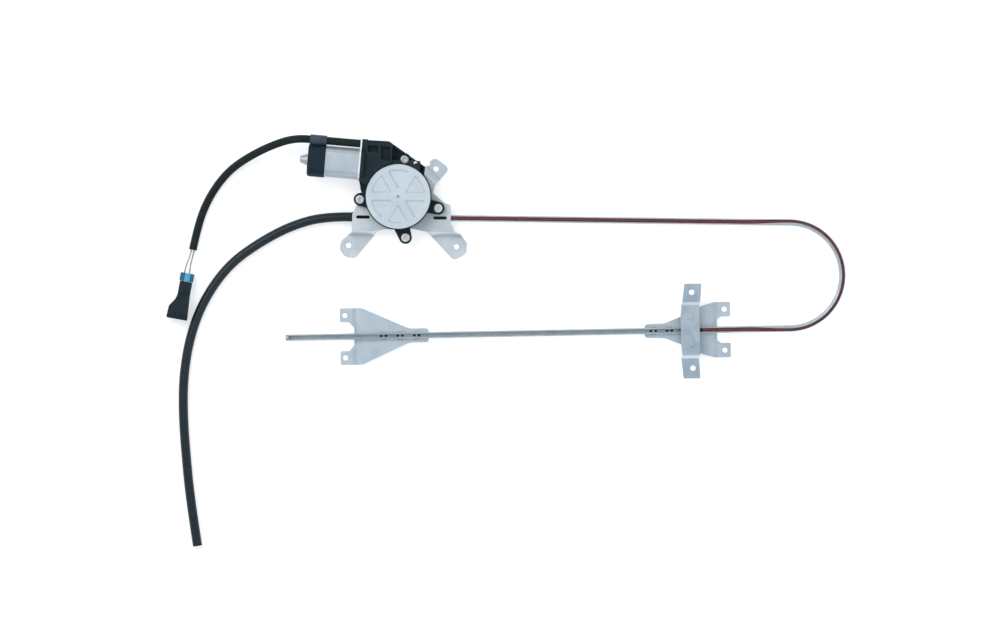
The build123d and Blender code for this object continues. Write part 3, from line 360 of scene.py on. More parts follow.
FINISHES = {finish.name: finish for finish in (
    ZincPlate("motor plate zinc", "c6d2da", "dae2e8"),
    ZincPlate("rail plate zinc", "bacbd8", "ccd8e2"),
    ZincPlate("lift plate zinc", "a6bac9", "bccbd8", roughness=0.45),
    ZincPlate("pressed cover zinc", "cad9e3", "d8e2e9", cloud_mm=30.0, roughness=0.47),
    # near-white copy of the zinc: painted highlight on the lift plate's sloped steps and on the
    # motor can's flange and ear
    ZincPlate("zinc with painted highlight", "eef6f9", "f6fafc", metallic=0.1, roughness=0.5),
    ZincPlate("drawn can zinc", "b9c6d0", "c4d0d9", cloud_mm=20.0, streak_mm=(20.0, 0.5, 0.5),
              roughness=0.38),
    ZincPlate("rail tube zinc", "b2bfc6", "c4ced4", metallic=0.5, streak_mm=(30.0, 0.6, 0.6),
              cloud_mm=14.0, roughness=0.4),
    ZincPlate("shaded tube zinc", "b4c3cb", "c6d1d7", metallic=0.15, streak_mm=(30.0, 0.6, 0.6),
              cloud_mm=14.0, roughness=0.5),
    SteelPart("weld burn", "1a1d1f", "33373a", roughness=0.62, metallic=0.4,
              mark_mm=(0.7, 0.7, 0.7), depth_mm=0.08),
    SteelPart("weld bead", "7f8c94", "9daab1", roughness=0.45, metallic=0.6,
              mark_mm=(0.8, 0.8, 0.8), depth_mm=0.05),
    SteelPart("bright screw", "e2e8e8", "d0d7d7", roughness=0.36, metallic=0.4),
    SteelPart("ground steel", "a9adb1", "8e9398"),
    SteelPart("copper", "b5714a", "8c4f33", roughness=0.33),
    SteelPart("sintered bronze", "94733f", "7a5c30", roughness=0.5, mark_mm=(0.4, 0.4, 0.4),
              depth_mm=0.03),
    SteelPart("ferrite", "35363a", "24262a", roughness=0.6, metallic=0.2),
    MouldedPlastic("glass-filled nylon", "12242b", "1c3138", roughness=0.5, specular=0.2),
    MouldedPlastic("acetal", "e2e0d6", "d5d2c6", roughness=0.4, depth_mm=0.01, specular=0.5),
    MouldedPlastic("sleeve rubber", "12232d", "1a2f3b", roughness=0.6, grain_mm=0.6,
                   depth_mm=0.04, specular=0.2),
    MouldedPlastic("clip nylon", "364553", "42515e", roughness=0.5),
    MouldedPlastic("plug nylon", "13242b", "1c3039", roughness=0.42, specular=0.2),
    MouldedPlastic("blue lock", "3fa2d4", "4fb2e0", roughness=0.35, depth_mm=0.015, specular=0.5),
    MouldedPlastic("blue lock, shaded", "2f5b7c", "3a6a8c", roughness=0.4, depth_mm=0.015,
                   specular=0.4),
    MouldedPlastic("wire skin", "a9a4a8", "bdb8bc", roughness=0.4, depth_mm=0.01),
    MouldedPlastic("conduit tape", "0f1a1d", "1d282a", roughness=0.55, grain_mm=0.5,
                   depth_mm=0.05, patch_mm=9.0, specular=0.22),
    ExtrudedHose(),
    FlockedCable(),
    # darker copy of the cable: painted shade where it runs under the plates
    FlockedCable("flocked cable, painted shade", "200c10", "38191f"),
)}


class Finishes:
    """Builds each finish once, when a piece first asks for it."""

    def __init__(self) -> None:
        """Start with no material."""
        self.made: dict[str, bpy.types.Material] = {}

    def get(self, name: str) -> bpy.types.Material:
        """Return the material of that name."""
        if name not in self.made:
            self.made[name] = FINISHES[name].build()
        return self.made[name]


FINISH = Finishes()


# ------------------------------------------------------------------ mesh helpers
def dress(obj: bpy.types.Object, finish: str) -> bpy.types.Object:
    """Give an object one material."""
    obj.data.materials.clear()
    obj.data.materials.append(FINISH.get(finish))
    return obj


def dress_node(node: str, finish: str) -> None:
    """Give a CAD node its material."""
    dress(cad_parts[node], finish)
    LOG.info("%s: %s", node, finish)


def smooth(obj: bpy.types.Object, shade: Shade = Shade.ROUND) -> None:
    """Shade a mesh smooth, with its real edges kept."""
    mesh = obj.data
    mesh.polygons.foreach_set("use_smooth", [True] * len(mesh.polygons))
    mesh.set_sharp_from_angle(angle=math.radians(SHARP_DEG))
    if shade is Shade.SHEET:
        obj.modifiers.new("flat faces", "WEIGHTED_NORMAL").keep_sharp = True


def add_object(name: str, data: bpy.types.ID) -> bpy.types.Object:
    """Make an object of some data and link it to the scene."""
    obj = bpy.data.objects.new(name, data)
    bpy.context.scene.collection.objects.link(obj)
    return obj


def add_mesh(name: str, shape: Shape) -> bpy.types.Object:
    """Make a mesh object of a finished bmesh, which is freed."""
    mesh = bpy.data.meshes.new(name)
    shape.to_mesh(mesh)
    shape.free()
    return add_object(name, mesh)


def new_piece(name: str, shape: Shape, finish: str, body: Body | None,
              shade: Shade = Shade.ROUND) -> bpy.types.Object:
    """Make a dressed object of a finished bmesh.

    Args:
        name: Name of the piece.
        shape: Its mesh, which is freed.
        finish: Name of its finish.
        body: Body that it moves with, or None to leave it on no body.
        shade: How it is smoothed.

    Returns:
        The object.
    """
    obj = add_mesh(name, shape)
    dress(obj, finish)
    smooth(obj, shade)
    if body:
        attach(obj, body.value)
    LOG.info("%s: %d faces, %s", name, len(obj.data.polygons), finish)
    return obj


def verts_in(made: Iterable[object]) -> list[bmesh.types.BMVert]:
    """Vertices among what an operator made."""
    return [item for item in made if isinstance(item, bmesh.types.BMVert)]


def cut_through(shape: Shape, place: Sequence[float], normal: Sequence[float]) -> None:
    """Cut a mesh's faces along a plane and keep both sides."""
    bmesh.ops.bisect_plane(shape, geom=shape.verts[:] + shape.edges[:] + shape.faces[:],
                           dist=MERGE, plane_co=place, plane_no=normal)


def round_off(shape: Shape, geom: Sequence[object], width: float, segments: int,
              affect: str = "EDGES") -> None:
    """Round edges or corners.

    Args:
        shape: The mesh.
        geom: Its edges or vertices to round.
        width: Width of the rounding.
        segments: Faces across it.
        affect: "EDGES" or "VERTICES".
    """
    bmesh.ops.bevel(shape, geom=geom, offset=width, offset_type="OFFSET", segments=segments,
                    profile=0.5, affect=affect, clamp_overlap=True, material=-1)


def softened(node: str, finish: str, body: Body, width_mm: float,
             segments: int = 2, angle: float = 35.0,
             reshape: Reshape | None = None) -> bpy.types.Object:
    """Stand in for a CAD node with its edges rounded.

    Args:
        node: The node.
        finish: Name of its finish.
        body: Body that it moves with.
        width_mm: Width of the rounding.
        segments: Faces across the rounding.
        angle: Least turn in degrees between two faces whose edge is rounded.
        reshape: Change made to the copy before its edges are rounded.

    Returns:
        The new object, which replaces the node.
    """
    shape = bmesh.new()
    shape.from_mesh(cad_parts[node].data)
    bmesh.ops.remove_doubles(shape, verts=shape.verts, dist=CAD_MERGE)
    bmesh.ops.dissolve_limit(shape, angle_limit=math.radians(FLAT_DEG), verts=shape.verts,
                             edges=shape.edges, delimit={"NORMAL"})
    if reshape:
        reshape(shape)
    edges = [edge for edge in shape.edges
             if edge.is_manifold and edge.calc_face_angle(0.0) > math.radians(angle)]
    round_off(shape, edges, width_mm * MM, segments)
    piece = new_piece(f"{node}_dressed", shape, finish, body, Shade.SHEET)
    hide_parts(node)
    return piece


def two_tone(obj: bpy.types.Object, finish: str, chosen: Callable[[Vector, Vector], bool]) -> None:
    """Give some faces of a piece a second material.

    Args:
        obj: The piece.
        finish: Name of the second finish.
        chosen: Tells from a face's middle and normal whether it takes that finish.
    """
    obj.data.materials.append(FINISH.get(finish))
    for face in obj.data.polygons:
        if chosen(face.center, face.normal):
            face.material_index = 1


def flat_sheet(corners: Sequence[Point], hole_radius: float) -> Shape:
    """Flat outline with rounded corners and a round hole at its origin.

    Args:
        corners: X, Y and corner radius in millimetres, in order round the outline.
        hole_radius: Radius of the hole in millimetres.

    Returns:
        The face's mesh at height 0.
    """
    shape = bmesh.new()
    verts = [bmesh.ops.create_vert(shape, co=(x * MM, y * MM, 0.0))["vert"][0]
             for x, y, _ in corners]
    bmesh.ops.contextual_create(shape, geom=verts)
    places = [vert.co.copy() for vert in verts]
    for index, (vert, corner) in enumerate(zip(verts, corners)):
        if corner[2]:
            before = (places[index - 1] - places[index]).normalized()
            after = (places[(index + 1) % len(places)] - places[index]).normalized()
            cut = corner[2] * MM / math.tan(before.angle(after) / 2)
            round_off(shape, [vert], cut, CORNER_FACES, "VERTICES")
    bmesh.ops.delete(shape, geom=shape.faces[:], context="FACES_ONLY")
    bmesh.ops.create_circle(shape, segments=HOLE_FACES, radius=hole_radius * MM, cap_ends=False)
    bmesh.ops.triangle_fill(shape, use_beauty=True, use_dissolve=False, edges=shape.edges[:],
                            normal=(0.0, 0.0, 1.0))
    return shape


def along(points: Sequence[Vector]) -> list[Matrix]:
    """Frames along a line, turned as little as possible from one to the next.

    Args:
        points: Points of the line.

    Returns:
        One matrix a point, whose Z follows the line.
    """
    frames = []
    side = Vector((0, 0, 1))
    for index, point in enumerate(points):
        before, after = points[max(index - 1, 0)], points[min(index + 1, len(points) - 1)]
        forward = (after - before).normalized()
        side = (side - forward * side.dot(forward)).normalized()
        other = forward.cross(side)
        turn = Matrix((side, other, forward)).transposed().to_4x4()
        frames.append(Matrix.Translation(point) @ turn)
    return frames


def straight_tube(segments: int, steps: int, gap: float) -> Shape:
    """Open upright tube of unit radius, cut into even rings from height 0.

    Args:
        segments: Faces round the tube.
        steps: Rings of faces along it.
        gap: Height of one ring of faces.

    Returns:
        The mesh.
    """
    shape = bmesh.new()
    bmesh.ops.create_circle(shape, segments=segments, radius=1.0, cap_ends=False)
    new = bmesh.ops.extrude_edge_only(shape, edges=shape.edges[:])["geom"]
    bmesh.ops.translate(shape, verts=verts_in(new), vec=(0.0, 0.0, gap * steps))
    sides = [edge for edge in shape.edges if edge.verts[0].co.z != edge.verts[1].co.z]
    bmesh.ops.subdivide_edges(shape, edges=sides, cuts=steps - 1)
    return shape


def bend_onto(shape: Shape, points: Sequence[Vector]) -> None:
    """Bend an upright mesh onto a line, so that a vertex's height is its place along it.

    Args:
        shape: The mesh.
        points: Evenly spaced points of the line.
    """
    frames = along(points)
    gap = length_of(points) / (len(points) - 1)
    last = len(frames) - 2
    for vert in shape.verts:
        index = min(max(int(vert.co.z / gap), 0), last)
        flat = Vector((vert.co.x, vert.co.y, 0.0))
        here, there = frames[index] @ flat, frames[index + 1] @ flat
        vert.co = here.lerp(there, vert.co.z / gap - index)


def close_ends(shape: Shape) -> None:
    """Close a tube's open ends and point its faces outwards."""
    bmesh.ops.holes_fill(shape, edges=[edge for edge in shape.edges if edge.is_boundary], sides=0)
    bmesh.ops.recalc_face_normals(shape, faces=shape.faces)


def tube_along(points: Sequence[Vector], radii: Sequence[float], segments: int,
               bore: float = 0.0, bore_depth: float = 0.0) -> Shape:
    """Round tube along a line, with a radius at each point.

    Args:
        points: Evenly spaced points of the line.
        radii: Radius at each point.
        segments: Faces round the tube.
        bore: Radius of an open bore at the far end, or 0 for a closed end.
        bore_depth: How deep the bore shows.

    Returns:
        The closed mesh.
    """
    steps = len(points) - 1
    gap = length_of(points) / steps
    shape = straight_tube(segments, steps, gap)
    for vert in shape.verts:
        radius = radii[round(vert.co.z / gap)]
        vert.co.x *= radius
        vert.co.y *= radius
    if bore:
        rim = [edge for edge in shape.edges if edge.is_boundary and edge.verts[0].co.z > gap]
        for scale, drop in ((bore / radii[-1], 0.0), (1.0, -bore_depth)):
            new = bmesh.ops.extrude_edge_only(shape, edges=rim)["geom"]
            verts = verts_in(new)
            bmesh.ops.scale(shape, vec=(scale, scale, 1.0), verts=verts)
            bmesh.ops.translate(shape, vec=(0.0, 0.0, drop), verts=verts)
            rim = [edge for edge in shape.edges if edge.is_boundary and edge.verts[0] in verts]
    bend_onto(shape, points)
    close_ends(shape)
    return shape


def spline_line(name: str, points: Sequence[Point],
                resolution: int = 24) -> tuple[bpy.types.Object, list[Vector]]:
    """Smooth line of a cord through its given control points.

    Args:
        name: Name of the curve.
        points: Control points.
        resolution: Steps between two of them.

    Returns:
        The curve object and the points along its line.
    """
    data = bpy.data.curves.new(name, "CURVE")
    data.dimensions = "3D"
    data.resolution_u = resolution
    spline = data.splines.new("NURBS")
    spline.points.add(len(points) - 1)
    for place, point in zip(spline.points, points):
        place.co = (*point, 1.0)
    spline.order_u = 3
    spline.use_endpoint_u = True
    obj = add_object(name, data)
    mesh = bpy.data.meshes.new_from_object(obj)
    line = [vert.co.copy() for vert in mesh.vertices]
    bpy.data.meshes.remove(mesh)
    return obj, line


def length_of(line: Sequence[Vector]) -> float:
    """Length of a line of points."""
    return sum((b - a).length for a, b in zip(line, line[1:]))


def even_points(line: Sequence[Vector], step: float) -> list[Vector]:
    """Points at even steps along a line.

    Args:
        line: Points of the line.
        step: About how far apart the new points lie.

    Returns:
        The new points, the two ends among them.
    """
    count = max(2, round(length_of(line) / step))
    gap = length_of(line) / count
    result, left, index, here = [line[0]], gap, 0, line[0]
    while len(result) < count and index < len(line) - 1:
        run = line[index + 1] - here
        if run.length < left:
            left -= run.length
            index += 1
            here = line[index]
        else:
            here = here + run.normalized() * left
            result.append(here)
            left = gap
    result.append(line[-1])
    return result


# ------------------------------------------------------------------ studio
@dataclass
class Studio:
    """White table, soft light from above and a camera looking straight down."""

    middle: Point = (0.18768, -0.0949, 0.0)
    roll_deg: float = -1.07
    camera_height: float = 15.0
    view_width: float = 1.25
    camera_reach: float = 50.0
    sensor_mm: float = 36.0
    floor_half: float = 3.0
    floor_drop: float = 0.2 * MM
    floor_glow: float = 0.5
    world_strength: float = 0.66
    lamps: tuple[tuple[str, Point, float, float], ...] = (  # name, place, side and watts
        ("key", (-0.9, 1.0, 2.0), 1.4, 19.5), ("fill", (1.6, -1.2, 1.9), 1.6, 7.0))

    def build(self) -> None:
        """Make the camera, the lamps, the world and the floor."""
        self.make_camera()
        self.make_floor()
        self.make_world()
        for lamp in self.lamps:
            self.make_lamp(*lamp)

    def make_camera(self) -> None:
        """Make the camera and make it the scene's own."""
        data = bpy.data.cameras.new("camera")
        data.sensor_width = self.sensor_mm
        data.lens = self.sensor_mm * self.camera_height / self.view_width
        data.clip_end = self.camera_reach
        camera = add_object("camera", data)
        camera.location = (self.middle[0], self.middle[1], self.camera_height)
        camera.rotation_euler = (0.0, 0.0, math.radians(self.roll_deg))
        bpy.context.scene.camera = camera

    def make_lamp(self, name: str, place: Point, size: float, power: float) -> None:
        """Make a soft square lamp that points at the object's middle.

        Args:
            name: Name of the lamp.
            place: Where it hangs.
            size: Side of the square.
            power: Power in watts.
        """
        data = bpy.data.lights.new(name, "AREA")
        data.size = size
        data.energy = power
        aim = Vector(self.middle) - Vector(place)
        lamp = add_object(name, data)
        lamp.location = place
        lamp.rotation_euler = aim.to_track_quat("-Z", "Y").to_euler()

    def seen_directly(self, tree: Tree) -> Socket:
        """Value that is 1 where the camera, metal or glass sees the surface."""
        path = add_node(tree, "ShaderNodeLightPath").outputs
        first = add_node(tree, "ShaderNodeMath", {"operation": "MAXIMUM"},
                         {0: path["Is Camera Ray"], 1: path["Is Glossy Ray"]})
        second = add_node(tree, "ShaderNodeMath", {"operation": "MAXIMUM"},
                          {0: first.outputs[0], 1: path["Is Transmission Ray"]})
        return second.outputs[0]

    def make_floor(self) -> None:
        """Make the white table, which keeps the object's soft shadow."""
        shape = bmesh.new()
        bmesh.ops.create_grid(shape, x_segments=1, y_segments=1, size=self.floor_half)
        bmesh.ops.translate(shape, verts=shape.verts, vec=(*self.middle[:2], -self.floor_drop))
        floor = add_mesh("floor", shape)
        material, tree = blank_material("white table")
        matt = add_node(tree, "ShaderNodeBsdfDiffuse", {"Color": linear("e9ecee")})
        strength = add_node(tree, "ShaderNodeMath", {"operation": "MULTIPLY", 1: self.floor_glow},
                            {0: self.seen_directly(tree)})
        glow = add_node(tree, "ShaderNodeEmission", {"Color": linear("ffffff")},
                        {"Strength": strength.outputs[0]})
        both = add_node(tree, "ShaderNodeAddShader", {},
                        {0: matt.outputs["BSDF"], 1: glow.outputs["Emission"]})
        add_node(tree, "ShaderNodeOutputMaterial", {}, {"Surface": both.outputs[0]})
        floor.data.materials.append(material)

    def make_world(self) -> None:
        """Make an even pale surround that the camera sees as white."""
        world = bpy.data.worlds.new("studio")
        world.use_nodes = True
        tree = world.node_tree
        tree.nodes.clear()
        soft = add_node(tree, "ShaderNodeBackground",
                        {"Color": linear("f4f7fa"), "Strength": self.world_strength})
        white = add_node(tree, "ShaderNodeBackground", {"Color": linear("ffffff"), "Strength": 1.0})
        path = add_node(tree, "ShaderNodeLightPath")
        both = add_node(tree, "ShaderNodeMixShader", {},
                        {"Fac": path.outputs["Is Camera Ray"], 1: soft.outputs["Background"],
                         2: white.outputs["Background"]})
        add_node(tree, "ShaderNodeOutputWorld", {}, {"Surface": both.outputs[0]})
        bpy.context.scene.world = world


# ------------------------------------------------------------------ cords
@dataclass
class RunOutHose:
    """Smooth hose that takes the spare cable away from the sprocket."""

    radius: float = 5.8 * MM
    bore: float = 4.1 * MM
    bore_depth: float = 14 * MM
    step: float = 2.5 * MM
    segments: int = 32
    route: tuple[Point, ...] = (
        (0.004517, 0.035477, 0.00955), (-0.029467, 0.036545, 0.00955), (-0.072, 0.0255, 0.0066),
        (-0.112, 0.005, 0.0058), (-0.150, -0.0215, 0.0058), (-0.181, -0.063, 0.0058),
        (-0.1995, -0.108, 0.0058), (-0.209, -0.158, 0.0058), (-0.2105, -0.208, 0.0058),
        (-0.2075, -0.262, 0.0058), (-0.2032, -0.315, 0.0058), (-0.1954, -0.372, 0.0058))

    def build(self) -> None:
        guide, line = spline_line("hose_line", self.route)
        bpy.data.objects.remove(guide)
        points = even_points(line, self.step)
        shape = tube_along(points, [self.radius] * len(points), self.segments, self.bore,
                           self.bore_depth)
        hose = new_piece("run_out_hose_dressed", shape, "extruded pvc hose", Body.CHASSIS)
        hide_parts("run_out_hose")


@dataclass
class MotorLead:
    """Wrapped conduit with two wires that end in a plug with a blue lock."""

    radius: float = 5.0 * MM
    groove: float = 0.35 * MM
    pitch: float = 2.8 * MM
    steps_a_ring: int = 4
    segments: int = 24
    wire_radius: float = 0.9 * MM
    wire_faces: int = 4
    plug_middle: Vector = field(default_factory=lambda: Vector((-0.2023, -0.0306, 0.0)))
    plug_turn_deg: float = -101.5
    lock_bright: tuple[float, float] = (-1.5 * MM, 5.2 * MM)
    route: tuple[Point, ...] = (
        (0.020018, 0.126145, 0.03705), (-0.0314, 0.13155, 0.03705), (-0.063521, 0.134925, 0.03705),
        (-0.093, 0.1265, 0.027), (-0.121, 0.1135, 0.015), (-0.145, 0.098, 0.0065),
        (-0.163, 0.078, 0.005), (-0.177, 0.055, 0.005), (-0.1875, 0.028, 0.005),
        (-0.1945, -0.002, 0.005))
    red_route: tuple[Point, ...] = (
        (-0.19275, -0.00241, 0.0052), (-0.1950, -0.0112, 0.0052), (-0.1975, -0.0200, 0.0068),
        (-0.19867, -0.02879, 0.0080), (-0.20235, -0.04692, 0.0080))
    black_route: tuple[Point, ...] = (
        (-0.19625, -0.00159, 0.0052), (-0.1984, -0.0106, 0.0052), (-0.2020, -0.0182, 0.0070),
        (-0.20494, -0.02751, 0.0080), (-0.20863, -0.04564, 0.0080))

    def build(self) -> None:
        """Make the conduit, the wires and the plug."""
        self.make_conduit()
        housing = softened("connector_housing", "plug nylon", Body.CHASSIS, 0.5, segments=3)
        lock = softened("connector_lock", "blue lock", Body.LOCK, 0.35, reshape=self.split_lock)
        across = self.across_plug()
        two_tone(lock, "blue lock, shaded", lambda middle, _: not (
            self.lock_bright[0] < (middle - self.plug_middle).dot(across) < self.lock_bright[1]))
        dress_node("connector_terminals", "copper")
        self.make_wire("wire_red", self.red_route)
        self.make_wire("wire_black", self.black_route)

    def across_plug(self) -> Vector:
        """Direction across the plug."""
        turn = math.radians(self.plug_turn_deg)
        return Vector((-math.sin(turn), math.cos(turn), 0.0))

    def split_lock(self, shape: Shape) -> None:
        """Cut the lock's faces where its bright middle block meets the darker sides."""
        across = self.across_plug()
        for place in self.lock_bright:
            cut_through(shape, self.plug_middle + across * place, across)

    def make_conduit(self) -> None:
        """Make the conduit as a tube whose wall has fine rings."""
        guide, line = spline_line("conduit_line", self.route)
        bpy.data.objects.remove(guide)
        steps = self.steps_a_ring
        points = even_points(line, self.pitch / steps)
        radii = [self.radius - (self.groove if index % steps == steps - 1 else 0.0)
                 for index in range(len(points))]
        shape = tube_along(points, radii, self.segments)
        conduit = new_piece("conduit_dressed", shape, "conduit tape", Body.CHASSIS)
        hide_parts("conduit")

    def make_wire(self, node: str, route: tuple[Point, ...]) -> None:
        """Make one wire as a curve.

        Args:
            node: The CAD node that it replaces.
            route: Its control points.
        """
        wire, line = spline_line(f"{node}_dressed", route)
        wire.data.bevel_depth = self.wire_radius
        wire.data.bevel_resolution = self.wire_faces
        wire.data.use_fill_caps = True
        wire.data.materials.append(FINISH.get("wire skin"))
        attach(wire, Body.CHASSIS.value)
        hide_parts(node)


# ------------------------------------------------------------------ path of tube and cable
@dataclass(frozen=True)
class DrivePath:
    """Centre line of the guide tube, and the turned frame of the drive that pulls its cable."""

    turn_deg: float = -1.8
    axis: tuple[float, float] = (61.6 * MM, 61.6 * MM)
    place: Point = (0.0626879, 0.0336493, 0.00955)
    start: float = 30.0 * MM
    run_end: float = 489.6316 * MM
    bend_middle: tuple[float, float] = (0.550, -0.04784888)
    bend_radius: float = 66.15112 * MM
    rail_y: float = -0.114
    bend_steps: int = 90

    @property
    def drive(self) -> Matrix:
        """Frame of the drive, whose Z is the sprocket's axis."""
        return (Matrix.Rotation(math.radians(self.turn_deg), 4, "Z")
                @ Matrix.Translation((*self.axis, 0.0)))

    def run_and_bend(self) -> list[Vector]:
        """Points of the upper run's ends and of the bend."""
        height = self.place[2]
        turn = math.radians(self.turn_deg)
        along_run = Vector((math.cos(turn), math.sin(turn), 0.0))
        line = [Vector(self.place) + along_run * self.start,
                Vector(self.place) + along_run * self.run_end]
        first, last = 90.0 + self.turn_deg, -90.0
        for index in range(1, self.bend_steps + 1):
            angle = math.radians(first + (last - first) * index / self.bend_steps)
            line.append(Vector((self.bend_middle[0] + self.bend_radius * math.cos(angle),
                                self.bend_middle[1] + self.bend_radius * math.sin(angle), height)))
        return line

    def rail_point(self, x: float) -> Vector:
        """Point of the rail's centre line at a place along X."""
        return Vector((x, self.rail_y, self.place[2]))


PATH = DrivePath()


# ------------------------------------------------------------------ toothed cable
@dataclass
class ToothedCable:
    """Flocked cable with a helical tooth, in its tube and behind the lift bracket."""

    core: float = 2.1 * MM
    crest: float = 2.85 * MM
    pitch: float = 3.0 * MM
    segments: int = 14
    steps_a_turn: int = 10
    tooth_edge: float = 1.5  # above 1, the tooth is narrower than the gap beside it
    lift_end: float = 0.440

    def build(self) -> None:
        """Make both stretches of the cable."""
        line = PATH.run_and_bend()
        upper = self.make("cable_run_and_bend", line, Body.CHASSIS)
        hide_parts("cable_in_tube")
        rail_line = [line[-1], PATH.rail_point(self.lift_end)]
        rail = self.make("cable_on_rail", rail_line, None)
        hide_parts("cable_in_rail")
        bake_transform(rail)
        # the cable at the sprocket and at its end is darker: painted shade under the plates
        dress_node("cable_at_sprocket", "flocked cable, painted shade")
        dress_node("cable_end", "flocked cable, painted shade")

    def make(self, name: str, line: Sequence[Vector], body: Body | None) -> bpy.types.Object:
        """Make one stretch: a round core and the tooth wound on it.

        Args:
            name: Name of the piece.
            line: Centre line.
            body: Body that it moves with, or None for the stretch between two bodies, which is left
                on none.

        Returns:
            The object.
        """
        points = even_points(line, self.pitch / self.steps_a_turn)
        gap = length_of(points) / (len(points) - 1)
        shape = straight_tube(self.segments, len(points) - 1, gap)
        for vert in shape.verts:
            turn = math.atan2(vert.co.y, vert.co.x) - 2 * math.pi * vert.co.z / self.pitch
            ridge = (0.5 + 0.5 * math.cos(turn)) ** self.tooth_edge
            radius = self.core + (self.crest - self.core) * ridge
            vert.co.x *= radius
            vert.co.y *= radius
        bend_onto(shape, points)
        close_ends(shape)
        return new_piece(name, shape, "flocked cable", body)


# ------------------------------------------------------------------ metal frame
@dataclass
class GuideRail:
    """Slotted tube with its two brackets, welds and end plug.

    The slot faces up along both runs and leans outwards round the bend.
    """

    radius: float = 3.995 * MM
    wall: float = 0.75 * MM
    slot: float = 5.4 * MM
    lean_deg: float = 38.0
    twist_length: float = 60.0 * MM
    step: float = 2.5 * MM
    arc_faces: int = 20
    tube_end: float = -0.079
    plug_reach: float = 2.4 * MM
    plug_cap: float = 1.6 * MM
    plug_play: float = 0.02 * MM
    plug_edge: float = 0.3 * MM
    plug_faces: int = 36
    plug_turn: float = 1.0  # least turn in radians of an edge of the plug that is rounded
    weld_x: tuple[float, ...] = (0.0418, 0.0625, 0.0832, 0.379, 0.399)
    burn_apart: float = 3.0 * MM
    burn_radius: float = 1.9 * MM
    burn_flat: Point = (1.0, 0.9, 0.35)
    tube_floor: float = 6.35 * MM

    def build(self) -> None:
        """Make the tube and its plug, dress the brackets and add the welds' burnt spots."""
        self.make_tube()
        self.make_plug()
        dress_node("rail_welds", "weld bead")
        softened("rail_bracket_left", "rail plate zinc", Body.CHASSIS, 0.35)
        softened("rail_bracket_right", "rail plate zinc", Body.CHASSIS, 0.35)
        self.make_burns()

    def lean_at(self, place: float, bend_start: float, bend_end: float) -> float:
        """Lean of the slot in radians at a place along the tube."""
        past = max(bend_start - place, place - bend_end, 0.0)
        share = max(0.0, 1.0 - past / self.twist_length)
        return math.radians(self.lean_deg) * (1 - math.cos(math.pi * share)) / 2

    def make_tube(self) -> None:
        """Make the rolled strip as an open profile along the whole path, then its thickness."""
        bent = PATH.run_and_bend()
        line = bent + [PATH.rail_point(self.tube_end)]
        points = even_points(line, self.step)
        gap = length_of(points) / (len(points) - 1)
        bend_start, bend_end = (bent[1] - bent[0]).length, length_of(bent)
        half_gap = math.asin(self.slot / 2 / self.radius)
        lip = (self.radius * math.cos(half_gap), self.radius * math.sin(half_gap), 0.0)
        shape = bmesh.new()
        first = bmesh.ops.create_vert(shape, co=lip)["vert"]
        bmesh.ops.spin(shape, geom=first, cent=(0.0, 0.0, 0.0), axis=(0.0, 0.0, 1.0),
                       angle=2 * (math.pi - half_gap), steps=self.arc_faces)
        bmesh.ops.remove_doubles(shape, verts=shape.verts, dist=MERGE)
        new = bmesh.ops.extrude_edge_only(shape, edges=shape.edges[:])["geom"]
        bmesh.ops.translate(shape, verts=verts_in(new), vec=(0.0, 0.0, gap * (len(points) - 1)))
        sides = [edge for edge in shape.edges if edge.verts[0].co.z != edge.verts[1].co.z]
        bmesh.ops.subdivide_edges(shape, edges=sides, cuts=len(points) - 2)
        for vert in shape.verts:
            lean = -self.lean_at(vert.co.z, bend_start, bend_end)
            x, y = vert.co.x, vert.co.y
            vert.co.x = x * math.cos(lean) - y * math.sin(lean)
            vert.co.y = x * math.sin(lean) + y * math.cos(lean)
        bend_onto(shape, points)
        self.turn_outwards(shape, points)
        tube = new_piece("guide_tube_rolled", shape, "rail tube zinc", Body.CHASSIS)
        tube.data.materials.append(FINISH.get("shaded tube zinc"))
        thick = tube.modifiers.new("strip", "SOLIDIFY")
        thick.thickness = self.wall
        thick.offset = -1.0
        thick.material_offset = 1
        thick.material_offset_rim = 0
        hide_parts("guide_tube")

    def turn_outwards(self, shape: Shape, points: Sequence[Vector]) -> None:
        """Point the open profile's faces away from the tube's centre line."""
        bmesh.ops.recalc_face_normals(shape, faces=shape.faces)
        face = shape.faces[:][len(shape.faces) // 2]
        face.normal_update()
        middle = face.calc_center_median()
        nearest = min(points, key=lambda point: (point - middle).length)
        if face.normal.dot(middle - nearest) < 0:
            bmesh.ops.reverse_faces(shape, faces=shape.faces)

    def make_plug(self) -> None:
        """Make the short plug that closes the rail's open end."""
        shape = bmesh.new()
        middle = PATH.rail_point(0.0)
        inner = self.radius - self.wall - self.plug_play
        cap = (self.tube_end - self.plug_cap, self.tube_end - self.plug_play / 2, self.radius)
        shank = (self.tube_end, self.tube_end + self.plug_reach, inner)
        for low, high, radius in (cap, shank):
            place = Matrix.Translation(((low + high) / 2, middle.y, middle.z)) @ Matrix.Rotation(
                math.pi / 2, 4, "Y")
            bmesh.ops.create_cone(shape, cap_ends=True, segments=self.plug_faces, radius1=radius,
                                  radius2=radius, depth=high - low, matrix=place)
        rims = [edge for edge in shape.edges if edge.calc_face_angle(0.0) > self.plug_turn]
        round_off(shape, rims, self.plug_edge, segments=2)
        plug = new_piece("tube_plug", shape, "rail tube zinc", Body.CHASSIS, Shade.SHEET)
        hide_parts("tube_end_plug")

    def make_burns(self) -> None:
        """Make the dark craters that the welds leave on the tube's floor."""
        shape = bmesh.new()
        for x in self.weld_x:
            for side in (-1, 1):
                place = Matrix.Translation((x + side * self.burn_apart, PATH.rail_y,
                                            self.tube_floor))
                made = bmesh.ops.create_uvsphere(shape, u_segments=16, v_segments=8,
                                                 radius=self.burn_radius, matrix=place)
                bmesh.ops.scale(shape, vec=self.burn_flat, verts=made["verts"],
                                space=place.inverted())
        new_piece("weld_burns", shape, "weld burn", Body.CHASSIS)


